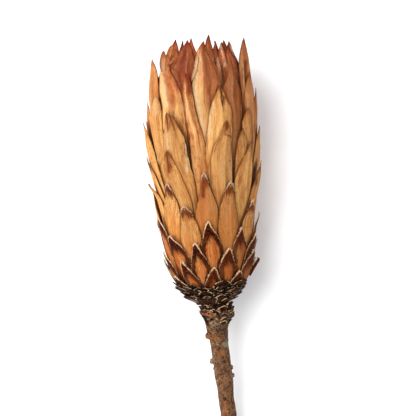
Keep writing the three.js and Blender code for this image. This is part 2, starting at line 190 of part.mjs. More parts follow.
// small scales round the base of the head: [angle, tip height]
const SCALES_UPPER = [[-31,4.8],[-8,3.7],[18,5.5],[42,4.6],[66,5.8],[92,5],[118,5.6],[143,5],[169,5.9],[195,5.2],[219,5.7],[244,5],[270,6],[302,5.2]];
const SCALES_LOWER = [[-40,2.3],[-17,1.6],[4,2.6],[27,1.9],[50,2.8],[75,2],[98,2.7],[122,2.1],[145,2.8],[170,2],[194,2.6],[217,1.9],[241,2.7],[264,2.1],[288,2.9]];

const rad = (a) => a * Math.PI / 180;
function along(table, h) {
  if (h <= table[0][0]) return table[0][1];
  for (let i = 1; i < table.length; i++) if (h <= table[i][0]) {
    const [a, u] = table[i - 1], [b, v] = table[i];
    return u + (v - u) * (h - a) / (b - a);
  }
  return table[table.length - 1][1];
}
// Catmull-Rom reading of PILE: how thick the pile of layers is that lies outside, at (h, a)
const cubic = (a, b, c, d, t) => b + 0.5 * t * (c - a + t * (2 * a - 5 * b + 4 * c - d + t * (3 * (b - c) + d - a)));
function pile(h, a) {
  const top = PILE.length - 1, n = PILE[0].length;
  h = Math.max(0, Math.min(top * 6 - 1e-6, h));
  const i = Math.floor(h / 6), t = h / 6 - i;
  const q = ((((a + 180) % 360) + 360) % 360) / 20, j = Math.floor(q) % n, u = q - Math.floor(q);
  const row = (k) => { const r = PILE[Math.max(0, Math.min(top, k))]; return cubic(r[(j - 1 + n) % n], r[j], r[(j + 1) % n], r[(j + 2) % n], u); };
  const r0 = row(i), before = i > 0 ? row(i - 1) : 2 * r0 - row(1);
  return cubic(before, r0, row(i + 1), row(i + 2), t);
}
function spread(h) { const t = Math.max(0, Math.min(1, (h - 68) / 32)); return 1 + 0.7 * t * t * (3 - 2 * t); }
const skin = (d, h, a) => along(OUTLINE, h) - (d * PITCH - pile(h, a)) * spread(h);

// head coordinates to the finished frame; the underside is pressed flat where it lies
function place(r, h, a) {
  const s = Math.sin(rad(a)), c = Math.cos(rad(a)), full = along(OUTLINE, h) + 0.45;
  let z = AXIS_Z + RISE * h + r * c;
  const under = -(AXIS_Z + RISE * h + full * c);
  if (under > 0) z += under * Math.max(0, Math.min(1, 1 - (full - r) / RELAX));
  const x = r * s, k = Math.cos(rad(LEAN)), l = Math.sin(rad(LEAN));
  return [x * k - h * l, x * l + h * k, z];
}

const head = new THREE.Group();
head.name = "dried_protea_flower";
// a three.js geometry whose vertices are moved to their place on the flower
function solid(name, geometry, move, colour, roughness = 0.85) {
  const p = geometry.getAttribute("position"), v = new THREE.Vector3();
  for (let i = 0; i < p.count; i++) {
    v.fromBufferAttribute(p, i);
    p.setXYZ(i, ...move(v, i));
  }
  geometry.computeVertexNormals();
  const m = new THREE.Mesh(geometry, new THREE.MeshStandardMaterial({ color: colour, roughness, metalness: 0 }));
  m.name = name;
  m.position.set(...SHIFT);
  head.add(m);
  return m;
}

// left and right edge of a bract at height h
function edges(kind, foot, tip, rows, h) {
  const first = rows[0], last = rows[rows.length - 1];
  if (h > first[0]) {
    const t = (tip[0] - h) / (tip[0] - first[0]);
    return [tip[1] + (first[1] - tip[1]) * t, tip[1] + (first[2] - tip[1]) * t];
  }
  for (let i = 1; i < rows.length; i++) if (h >= rows[i][0]) {
    const a = rows[i - 1], c = rows[i], t = (a[0] - h) / (a[0] - c[0]);
    return [a[1] + (c[1] - a[1]) * t, a[2] + (c[2] - a[2]) * t];
  }
  const t = Math.min(1, Math.max(0, (last[0] - h) / Math.max(1e-6, last[0] - foot)));
  const mid = (last[1] + last[2]) / 2, half = (last[2] - last[1]) / 2 * (1 - t + t * FOOT[kind]);
  return [mid - half, mid + half];
}

// one bract: a closed shell from its foot on the receptacle to its tip
function bract([name, d, kind, foot, tip, rows], colour) {
  const reach = kind === "mid" ? [2.2, 5.5] : [3, 8];
  const hs = [tip[0] - 0.25, tip[0] - reach[0], tip[0] - reach[1]];
  for (const l of LEVELS) if (l < tip[0] - reach[1] - 3 && l > foot + 0.8) hs.push(l);
  hs.push(foot);
  hs.reverse();
  const ends = hs.map((h) => edges(kind, foot, tip, rows, h));
  const wide = Math.max(...ends.map(([l, r]) => r - l));
  const m = wide > 30 ? 4 : 3, n = hs.length, end = ends[n - 1], w = 18 / skin(d, tip[0], tip[1]);
  ends[n - 1] = [Math.min(end[0], tip[1] - w), Math.max(end[1], tip[1] + w)];
  // across, along and through the shell, from the three sides of a box
  return solid(name, new THREE.BoxGeometry(1, 1, 1, m, n - 1, 1), (v) => {
    const i = Math.round((v.y + 0.5) * (n - 1)), h = hs[i], a = ends[i][0] + (ends[i][1] - ends[i][0]) * (v.x + 0.5);
    const out = Math.max(0, (h - tip[0] + 10) / 10);
    return place(skin(d, h, a) + (FLARE[name] || 0) * out * out - (v.z < 0 ? THICK : 0), h, a);
  }, colour);
}

// a whorl: one closed ring of shell whose upper edge follows the tips of its bracts
function ring(name, d, n, crest, levels, colour) {
  const m = levels.length, section = [];
  for (let i = 0; i < m; i++) section.push(new THREE.Vector2(2, i));
  for (let i = m - 1; i >= 0; i--) section.push(new THREE.Vector2(1, i));
  section.push(section[0].clone());
  return solid(name, new THREE.LatheGeometry(section, n), (v, index) => {
    const seg = Math.floor(index / section.length) % n, i = Math.round(v.y), inner = index % section.length >= m && index % section.length < 2 * m;
    const a = seg * 360 / n, h = Math.min(levels[i], crest(a) - (m - 1 - i) * 0.35);
    return place(skin(d, h, a) - (inner ? THICK : 0), h, a);
  }, colour);
}
// highest point of a set of teeth at angle a
function toothTop(kind, foot, teeth, floor, a) {
  let best = floor;
  for (const [tip, rows] of teeth) {
    for (let h = tip[0]; h > best; h -= 0.4) {
      const [l, r] = edges(kind, foot, tip, rows, h), mid = (l + r) / 2, off = Math.abs((((a - mid) % 360) + 540) % 360 - 180);
      if (off <= (r - l) / 2 + 0.4) { best = h; break; }
    }
  }
  return best;
}

// a body of revolution round the head axis, closed at both ends
function turned(name, profile, n, colour) {
  const pts = profile.map(([h, r]) => new THREE.Vector2(r, h));
  if (pts[0].x > 0) pts.unshift(new THREE.Vector2(0, pts[0].y));
  return solid(name, new THREE.LatheGeometry(pts, n), (v, index) => {
    const seg = Math.floor(index / pts.length) % n;
    return place(pts[index % pts.length].x, v.y, seg * 360 / n);
  }, colour);
}

// stem: a bent tapering rod with leaf-base stubs, cut square at the lower end
function stem(n) {
  const rings = [];
  for (let i = 0; i < STEM.length - 1; i++) {
    const a = STEM[i], b = STEM[i + 1], parts = i > 4 && i < 14 ? 2 : 1;
    for (let k = 0; k < parts; k++) rings.push(a.map((v, c) => v + (b[c] - v) * k / parts));
  }
  rings.push(STEM[STEM.length - 1]);
  const last = rings.length - 1, at = (i) => new THREE.Vector3(rings[i][1], rings[i][0], rings[i][2]);
  const frames = rings.map((_, i) => {
    const t = at(Math.max(0, i - 1)).sub(at(Math.min(last, i + 1))).normalize();
    const side = new THREE.Vector3().crossVectors(t, new THREE.Vector3(0, 0, 1)).normalize();
    return [side, new THREE.Vector3().crossVectors(side, t)];
  });
  return solid("stem", new THREE.CylinderGeometry(1, 1, 1, n, last), (v) => {
    const i = Math.round((0.5 - v.y) * last), [y, , , r] = rings[i], [side, up] = frames[i], edge = Math.hypot(v.x, v.z);
    if (edge < 0.5) return at(i).toArray();
    const a = Math.atan2(v.x, v.z) * 180 / Math.PI;
    let R = r;
    for (const [sy, sa, sh, len, half] of STUBS) {
      const da = ((a - sa) % 360 + 540) % 360 - 180, u = (y - sy) / (len * 0.6), w = da / half;
      R += sh * Math.exp(-u * u - w * w);
    }
    return at(i).addScaledVector(side, R * Math.sin(rad(a))).addScaledVector(up, R * Math.cos(rad(a))).toArray();
  }, 0x6b4a33, 0.9);
}

stem(16);
turned("receptacle", RECEPTACLE, 20, 0x5a4130);
turned("floret_head", FLORETS, 20, 0xc9a57c);
const serrate = (list, floor) => (a) => {
  let best = floor;
  for (const [c, h] of list) {
    const off = Math.abs((((a - c) % 360) + 540) % 360 - 180);
    best = Math.max(best, h - (h - floor) * (off / 13) ** 1.6);
  }
  return best;
};
ring("basal_scales_lower", -2, 45, serrate(SCALES_LOWER, 0.6), [-2.2, 0, 99], 0x3a2a22);
ring("basal_scales_upper", -1, 42, serrate(SCALES_UPPER, 3.0), [-0.2, 2.2, 99], 0x4a3022);
for (const [name, d, kind, foot, teeth] of WHORLS) {
  const crown = kind === "crown";
  const crest = (a) => toothTop(kind, foot, teeth, FLOOR[name], a);
  const levels = [foot, ...LEVELS.filter((l) => l > foot + 0.8 && l < (crown ? 87 : foot + 22)).reverse(), 999];
  ring(name, d, crown ? 40 : 48, crest, levels, crown ? 0xa5623c : 0xa8642f);
}
const COLOURS = { mid: 0xc98d52, long: 0xd0a06b, tall: 0xc58e62 };
for (const b of BRACTS) bract(b, COLOURS[b[2]]);

export default head;
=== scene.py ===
# Dried protea flower head on its stem, lying on a white surface.
# The outlines are the same head coordinates as the CAD model: height up the head's axis in mm,
# angle round it in degrees (0 faces up) and depth layer.
import bpy, math
import numpy as np
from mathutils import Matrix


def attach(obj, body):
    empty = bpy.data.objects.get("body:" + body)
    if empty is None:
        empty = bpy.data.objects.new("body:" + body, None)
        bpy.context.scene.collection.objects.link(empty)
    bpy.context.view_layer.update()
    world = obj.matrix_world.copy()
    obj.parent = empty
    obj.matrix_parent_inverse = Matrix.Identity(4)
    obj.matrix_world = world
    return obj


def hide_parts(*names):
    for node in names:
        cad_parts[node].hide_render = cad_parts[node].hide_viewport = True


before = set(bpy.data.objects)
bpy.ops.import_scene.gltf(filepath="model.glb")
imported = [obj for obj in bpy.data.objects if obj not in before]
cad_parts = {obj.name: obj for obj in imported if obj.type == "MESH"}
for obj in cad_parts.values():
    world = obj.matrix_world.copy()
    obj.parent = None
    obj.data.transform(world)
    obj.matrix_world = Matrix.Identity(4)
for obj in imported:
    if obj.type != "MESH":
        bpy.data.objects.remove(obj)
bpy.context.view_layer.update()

LEAN, RISE, AXIS_Z, PITCH, RELAX = 3.05, 0.0612, 17.5, 0.72, 9.0
SHIFT = np.array([3.4, -9.09, -0.395])
OUTLINE = [[-6,4.2],[-2.3,5.4],[0,7],[2.7,10],[6.5,13.5],[10.3,15.4],[17.9,17.4],[25.5,18.6],
  [36.9,20],[44.5,21.1],[52,21.7],[60,21.9],[75,21.7],[82.5,20.8],[90,19.3],[96,18],[102,16.6]]
RECEPTACLE = [[-2.6,4.4],[0,5.9],[3,8],[6,8.9],[10,8.8],[15,7.9],[19,6.4],[22,4.2],[24,0.05]]
FLORETS = [[24.5,0.05],[26,5],[30,9],[36,11],[46,13.2],[56,14.2],[66,14.2],[74,12.8],[80,10.5],[85,7],[88,3],[89,0.05]]
STEM = [[-3,1.75,17.25,5.3],[-3.8,1.78,17.2,6.0],[-5.6,1.88,17,5.8],[-7.7,1.94,16.75,5.2],[-10,1.98,16.45,4.5],[-12,2.03,16.2,4.12],
  [-14.3,2.3,15.85,3.9],[-16.6,2.64,15.5,3.67],[-19.8,3.1,15,3.42],[-23.2,3.61,14.4,3.34],[-26.5,4,13.75,3.3],
  [-29.8,4.41,13.1,3.38],[-33,4.82,12.4,3.2],[-36.4,5.24,11.65,3.04],[-40.8,5.8,10.7,2.95],[-45.2,6.38,9.75,2.9],
  [-52,7.3,8.3,2.95],[-60,8.35,6.7,2.92],[-70,9.6,4.95,2.9],[-80,10.8,3.21,2.85]]
SCALES_UPPER = [[-31,4.8],[-8,3.7],[18,5.5],[42,4.6],[66,5.8],[92,5],[118,5.6],[143,5],[169,5.9],[195,5.2],[219,5.7],[244,5],[270,6],[302,5.2]]
SCALES_LOWER = [[-40,2.3],[-17,1.6],[4,2.6],[27,1.9],[50,2.8],[75,2],[98,2.7],[122,2.1],[145,2.8],[170,2],[194,2.6],[217,1.9],[241,2.7],[264,2.1],[288,2.9]]
# name, depth layer, kind, foot height, tip [height, angle], outline stations [height, left angle, right angle]
BRACTS = [
  ["bract_mid_front_1", 3, "mid", 3.8, [34.8,-25.6], [[33.4,-31.7,-19.9],[31.5,-33.1,-17],[29.6,-34.4,-14.6],[27.7,-36,-12.4],[25.5,-37.8,-10.2],[23.2,-39.4,-9.2],[20.9,-40.1,-10.1],[17.9,-37.7,-14.6]]],
  ["bract_mid_under_1", 3, "mid", 3.8, [35.5,-171], [[33.9,-174.9,-166.8],[31.5,-178.3,-163.1],[27.5,-182.4,-158.4],[23.5,-185.3,-154.8],[17.5,-187.6,-151.7],[9.5,-188.5,-149.5]]],
  ["bract_mid_right_1", 3, "mid", 4, [35.9,60.4], [[33.8,56.7,67.3],[31.9,53.7,73],[30,50.3,78],[28.1,47.5,78],[25.8,46.3,78.6],[23.2,47.2,78],[20.1,51.1,78]]],
  ["bract_mid_right_2", 3, "mid", 3.8, [36,112], [[34.4,107.8,115.9],[32,104.1,119.2],[28,99.3,123.2],[24,95.8,126.1],[18,92.6,128.2],[10,90.5,128.9]]],
  ["bract_mid_left_2", 3, "mid", 3.8, [42,-100], [[40.4,-103.9,-96.1],[38,-107.2,-92.7],[34,-111.4,-88.4],[30,-114.4,-85.2],[24,-116.7,-82.7],[16,-117.1,-82]]],
  ["bract_mid_front_2", 3, "mid", 3.8, [43,25.7], [[41.4,21.7,30.1],[39.5,19.6,31.2],[37.6,17.7,32.5],[35.7,16,33.9],[33.8,14.5,35.4],[31.5,13.3,37.1],[28.5,12.3,39.2],[25.5,12.2,40.7],[21.7,14.6,40.7]]],
  ["bract_mid_left_1", 4, "mid", 5, [38,-133], [[36.4,-137.3,-129.3],[34,-141.3,-126.4],[30,-146.5,-122.9],[26,-150.5,-120.6],[20,-154.4,-119.3],[12,-157.1,-120]]],
  ["bract_mid_under_2", 4, "mid", 5, [38.5,150], [[36.9,145.7,153.7],[34.5,141.9,156.7],[30.5,136.8,160.4],[26.5,133,162.8],[20.5,129.4,164.3],[12.5,127,163.9]]],
  ["bract_mid_front_3", 4, "mid", 5, [43.6,-43.4], [[42.2,-48.4,-40.3],[40.3,-50.8,-38.6],[38.4,-53.7,-37],[36.5,-57,-35.2],[34.6,-60.4,-34.1],[32.3,-64.8,-34.1],[29.3,-70.9,-35.2],[26.2,-75.3,-37.5],[22.4,-76.7,-40.8]]],
  ["bract_mid_front_4", 4, "mid", 5, [46.9,-1.6], [[45.2,-4.8,1.4],[43.3,-5.6,2.9],[41.4,-6.4,4.8],[39.5,-7.5,6.8],[37.6,-9.4,8.9],[35.7,-11.3,11.2],[33.8,-13,12.8],[31.5,-14.8,13.6],[28.5,-16.4,13.4],[24.7,-16.8,11.9],[20.9,-14.7,9.6]]],
  ["bract_mid_right_4", 4, "mid", 5, [50.5,80], [[48.9,75,83.7],[46.5,70.4,86.4],[42.5,64.5,89.1],[38.5,60,90.4],[32.5,55.8,89.8],[24.5,53.3,85.9],[10.5,49.5,78.5]]],
  ["bract_mid_left_3", 5, "mid", 6, [44.1,-78], [[42.5,-82.3,-73.7],[40.1,-86,-70],[36.1,-90.3,-65.7],[32.1,-93.2,-62.8],[26.1,-95,-61],[18.1,-94.3,-61.7]]],
  ["bract_mid_under_3", 5, "mid", 6, [47,-152], [[45.4,-155.8,-148.2],[43,-159,-145],[39,-163.1,-140.8],[35,-166.1,-137.8],[29,-168.3,-135.5],[21,-168.6,-135.2]]],
  ["bract_mid_right_3", 5, "mid", 6, [47.5,131], [[45.9,127.1,134.7],[43.5,123.8,137.7],[39.5,119.4,141.6],[35.5,116.1,144.3],[29.5,113.4,146.2],[21.5,112.7,145.9]]],
  ["bract_mid_front_5", 5, "mid", 6, [56.2,-39.4], [[54.3,-44.7,-35.6],[52.1,-46.5,-32.7],[49.8,-47.4,-30.1],[47.5,-47.9,-27.4],[45.2,-47.7,-25],[42.9,-46.8,-22.8],[40.7,-45.4,-20.9],[38,-43.8,-19.3],[34.6,-41.5,-17.8]]],
  ["bract_mid_right_5", 5, "mid", 6, [58.1,51.7], [[55.9,48.9,54.3],[54,47.1,55.7],[52.1,43.7,56.9],[50.2,40.9,58.7],[48.3,38.4,60.2],[46,35.6,61.7],[43.7,33.9,63],[41.4,33.5,64.5],[38.8,34.2,66.4],[35.7,36,68.7],[32.3,39.3,70.9]]],
  ["bract_long_front_1", 5, "long", 6, [66.3,24], [[64.6,20.6,26.2],[62.7,18.1,27.7],[60.8,15.3,28.6],[58.9,12.6,29],[56.6,9.4,29.1],[54.3,7.2,29.3],[52.1,6.1,29.4],[49,5.6,29.9],[46,5.6,30.5],[42.9,5.9,31.2],[39.9,7.1,31.9],[36.1,9.7,32.4]]],
  ["bract_mid_under_4", 6, "mid", 7, [49.5,169], [[47.9,164.9,172.4],[45.5,161.2,175],[41.5,156.3,178.2],[37.5,152.5,180.2],[31.5,148.9,181.2],[23.5,146.9,179.6],[9.5,142.8,177.5]]],
  ["bract_mid_left_4", 6, "mid", 7, [53,-116], [[51.4,-120.1,-112.7],[49,-123.7,-110.1],[45,-128.5,-107.2],[41,-132.3,-105.2],[35,-136,-104.4],[27,-137.9,-106.1],[13,-141.5,-109]]],
  ["bract_mid_left_5", 6, "mid", 7, [54,-84], [[52.4,-87.7,-79],[50,-90.4,-74.4],[46,-93.1,-68.5],[42,-94.4,-64],[36,-93.8,-59.8],[28,-89.9,-57.3],[14,-82.5,-53.5]]],
  ["bract_long_right_1", 6, "long", 7, [61,107], [[59.2,103.3,110.6],[56.5,99.8,113.9],[52.5,95.4,118],[47,91.9,121.2],[39,90.2,122.3],[25,89.7,121.9]]],
  ["bract_mid_front_6", 6, "mid", 7, [63.2,42.9], [[61.6,39.5,45.5],[59.7,38,48.6],[57.4,36.9,51.9],[54.7,35.7,54.7],[51.7,34.7,57.4],[48.3,34.7,60.3]]],
  ["bract_long_front_2", 6, "long", 7, [70.5,-36.2], [[68.8,-38.9,-30.9],[66.9,-40.3,-27.8],[65,-42.1,-25.5],[63.1,-44.1,-23.1],[60.8,-45.7,-20.2],[58.5,-47.2,-18.4],[55.9,-47.7,-17.1],[52.8,-47.1,-15.8],[49,-44.5,-14.6],[45.2,-41,-13.3],[40.7,-36.3,-12.1]]],
  ["bract_long_front_3", 6, "long", 7, [79.6,18.9], [[77.9,16.4,21.5],[76,13.9,24],[74.1,11.4,26.5],[72.2,9.4,29.5],[70.3,8.1,31.3],[68,6.6,31.8],[65,5,31.7],[61.2,3.3,31],[57.4,2.2,30.4],[53.6,1.8,29.8],[49.8,2.4,29.4],[45.2,4,28.6]]],
  ["bract_long_under_1", 7, "long", 8.2, [60,147], [[58.2,143,150.3],[55.5,139,153],[51.5,133.8,156.5],[46,129.3,158.7],[38,126.1,158.4],[24,123,155.5]]],
  ["bract_long_under_2", 7, "long", 8.2, [63,-176], [[61.2,-180,-172.7],[58.5,-183.9,-169.9],[54.5,-189,-166.4],[49,-193.4,-164.3],[41,-196.3,-164.7],[27,-199.3,-167.4]]],
  ["bract_long_right_2", 7, "long", 8.2, [64,82], [[62.2,78.6,86.9],[59.5,75.8,91.8],[55.5,72.6,98.2],[50,71.3,103.9],[42,73.8,107.8],[28,80.8,112]]],
  ["bract_long_under_3", 7, "long", 8.2, [65,-137], [[63.2,-140.7,-133.4],[60.5,-144.2,-130.2],[56.5,-148.6,-126],[51,-152,-123.1],[43,-153.4,-122.2],[29,-154.1,-122.6]]],
  ["bract_long_left_1", 7, "long", 8.2, [67.5,-86], [[65.7,-89,-81.6],[63,-91.2,-77.2],[59,-93.9,-71.3],[53.5,-94.8,-66],[45.5,-92.2,-62.2],[31.5,-85.4,-57.8]]],
  ["bract_long_right_3", 7, "long", 8.2, [70.9,53.4], [[69.2,50,56.5],[67.3,47.7,58.7],[65,46,60.6],[62.3,45.5,62.2],[59.3,45.6,63.2]]],
  ["bract_tall_front_1", 7, "tall", 8.2, [85.1,-15.4], [[83.6,-17.3,-12.2],[81.7,-17.9,-10.5],[79.4,-18.5,-9.6],[76.8,-18.7,-8.6],[73.7,-18.1,-7.5],[70.3,-17.4,-6.2],[66.9,-16.8,-4.4],[63.5,-16,-1.5],[59.7,-15.1,0.8],[55.9,-15.2,2.4],[52.1,-15.1,3.8],[47.5,-14.4,3.8],[42.2,-12.8,4.7]]],
  ["bract_long_left_2", 8, "long", 9.5, [68,-103], [[66.2,-106.4,-99.1],[63.5,-109.3,-95.3],[59.5,-112.8,-90.4],[54,-115.1,-86.3],[46,-114.8,-84.1],[32,-112.5,-81.7],[8,-111.3,-75.1]]],
  ["bract_long_under_4", 8, "long", 9.5, [74,164], [[72.2,160.1,167.4],[69.5,156.4,170.4],[65.5,151.6,174.1],[60,147.8,176.3],[52,145.9,176],[38,144.2,173.9],[14,139.7,171.7]]],
  ["bract_long_right_4", 8, "long", 9.8, [75,127], [[73.2,123,130.3],[70.5,119.1,133.2],[66.5,114.1,136.7],[61,110.1,138.6],[53,107.9,137.9],[39,105.5,135],[15,99.9,131.5]]],
  ["bract_long_under_5", 8, "long", 9.5, [77,-158], [[75.2,-161.6,-154.2],[72.5,-164.7,-150.7],[68.5,-168.7,-146.2],[63,-171.4,-142.8],[55,-171.6,-141.6],[41,-170.2,-141.2],[17,-169.6,-138.8]]],
  ["bract_tall_right_2", 8, "tall", 9.8, [84.4,63.9], [[82.5,59.2,65.6],[80.2,55.9,67.7],[77.5,53.8,69.3],[74.5,52.6,70.9],[71.1,52.8,73.5],[66.9,53.7,76]]],
  ["bract_tall_front_2", 8, "tall", 9.8, [89.6,37.1], [[87.8,33.7,39],[85.5,30.9,40.8],[83.2,28.6,42.6],[80.6,26.4,45],[77.9,24.8,46.8],[74.9,23.6,47.4],[71.1,23.8,48.5],[67.3,25,48.6],[62.7,26.8,48.2],[57.4,28.8,48.2]]],
  ["bract_tall_front_3", 8, "tall", 9.5, [96.5,6.1], [[94.6,0.8,8.8],[92.3,-3.6,11.8],[90.1,-5.6,15.2],[87.8,-6.5,18.3],[85.5,-7.3,21.4],[83.2,-8.3,22.8],[80.6,-10,23.1],[77.9,-10.6,22.7],[74.9,-10.1,21.6],[71.1,-8.1,20.2],[67.3,-6.2,18.1],[63.5,-4.2,16],[58.9,-2.1,14.1],[53.6,0,12.7]]],
  ["bract_long_left_3", 9, "long", 10.8, [77.2,-53.6], [[75.6,-58.5,-50.3],[73.7,-64,-49.3],[71.4,-70.9,-49.3],[68.8,-78,-49.8],[65.4,-78,-50.4],[61.6,-78,-50.9],[57.8,-78,-52.1],[54,-78,-53.5],[50.2,-87.4,-55],[45.2,-87.4,-56.9]]],
  ["bract_tall_right_1", 9, "tall", 11, [78.5,84], [[76,80.8,87.2],[72,77.9,90.1],[66.5,74.4,93.6],[58.5,71.5,96.5],[46.5,71,97],[28.5,72.3,95.7]]],
  ["bract_tall_left_2", 9, "tall", 11, [87,-124], [[84.5,-128.1,-120.2],[80.5,-131.7,-117],[75,-135.6,-113.6],[67,-139.4,-110.7],[55,-140.6,-110.7],[37,-141.2,-112]]],
  ["bract_tall_under_1", 9, "tall", 10.8, [88,143], [[85.5,139.6,147.6],[81.5,137.1,151.8],[76,134.6,156.8],[68,133.1,161.8],[56,135.2,165.1],[38,139.7,168.7],[8,144.6,177.2]]],
  ["bract_tall_right_4", 9, "tall", 11, [97.7,76.6], [[96.1,68.1,78.7],[93.9,63,79.6],[91.6,58.8,78.4],[89.3,55.4,77.1],[87,52.9,75.7],[84.4,51.2,73.3],[80.9,50.3,70.7],[76.4,50.1,69.2],[71.1,51.1,69.5]]],
  ["bract_tall_left_1", 10, "tall", 12.2, [76.2,-88], [[73.7,-91.2,-84.8],[69.7,-94.1,-81.9],[64.2,-97.6,-78.4],[56.2,-100.5,-75.5],[44.2,-101,-75],[26.2,-99.7,-76.3]]],
  ["bract_tall_right_3", 10, "tall", 12.5, [87.4,69], [[84.9,66.1,71.9],[80.9,63.4,74.6],[75.4,60.2,77.8],[67.4,57.5,80.5],[55.4,57,81],[37.4,58.2,79.8]]],
  ["bract_tall_under_2", 10, "tall", 12.2, [90.5,-178], [[88,-182,-173.8],[84,-185.3,-170.2],[78.5,-188.8,-166.2],[70.5,-191.6,-162.9],[58.5,-191.7,-161.9],[40.5,-190.3,-161.8],[10.5,-190.1,-159.7]]],
  ["bract_tall_left_4", 10, "tall", 12.5, [93.3,-46.3], [[91.6,-49,-40.2],[89.3,-49.7,-34.5],[87,-51,-31.1],[84.4,-52.7,-27.2],[81.7,-53.9,-24.1],[78.7,-53.9,-23],[74.9,-52.4,-21.9],[71.1,-52.3,-21.3],[67.3,-52.8,-20.8],[63.5,-53.5,-20],[58.9,-53.4,-19],[53.6,-49.7,-18]]],
  ["bract_tall_left_3", 11, "tall", 13.8, [91.3,-78.8], [[89.3,-87.4,-68.6],[87,-87.4,-64.1],[84.4,-87.4,-61.7],[81.7,-87.4,-60.1],[78.7,-87.4,-58.9],[74.9,-87.4,-57.2],[70.3,-87.4,-57.1],[65,-87.4,-57.8]]],
]
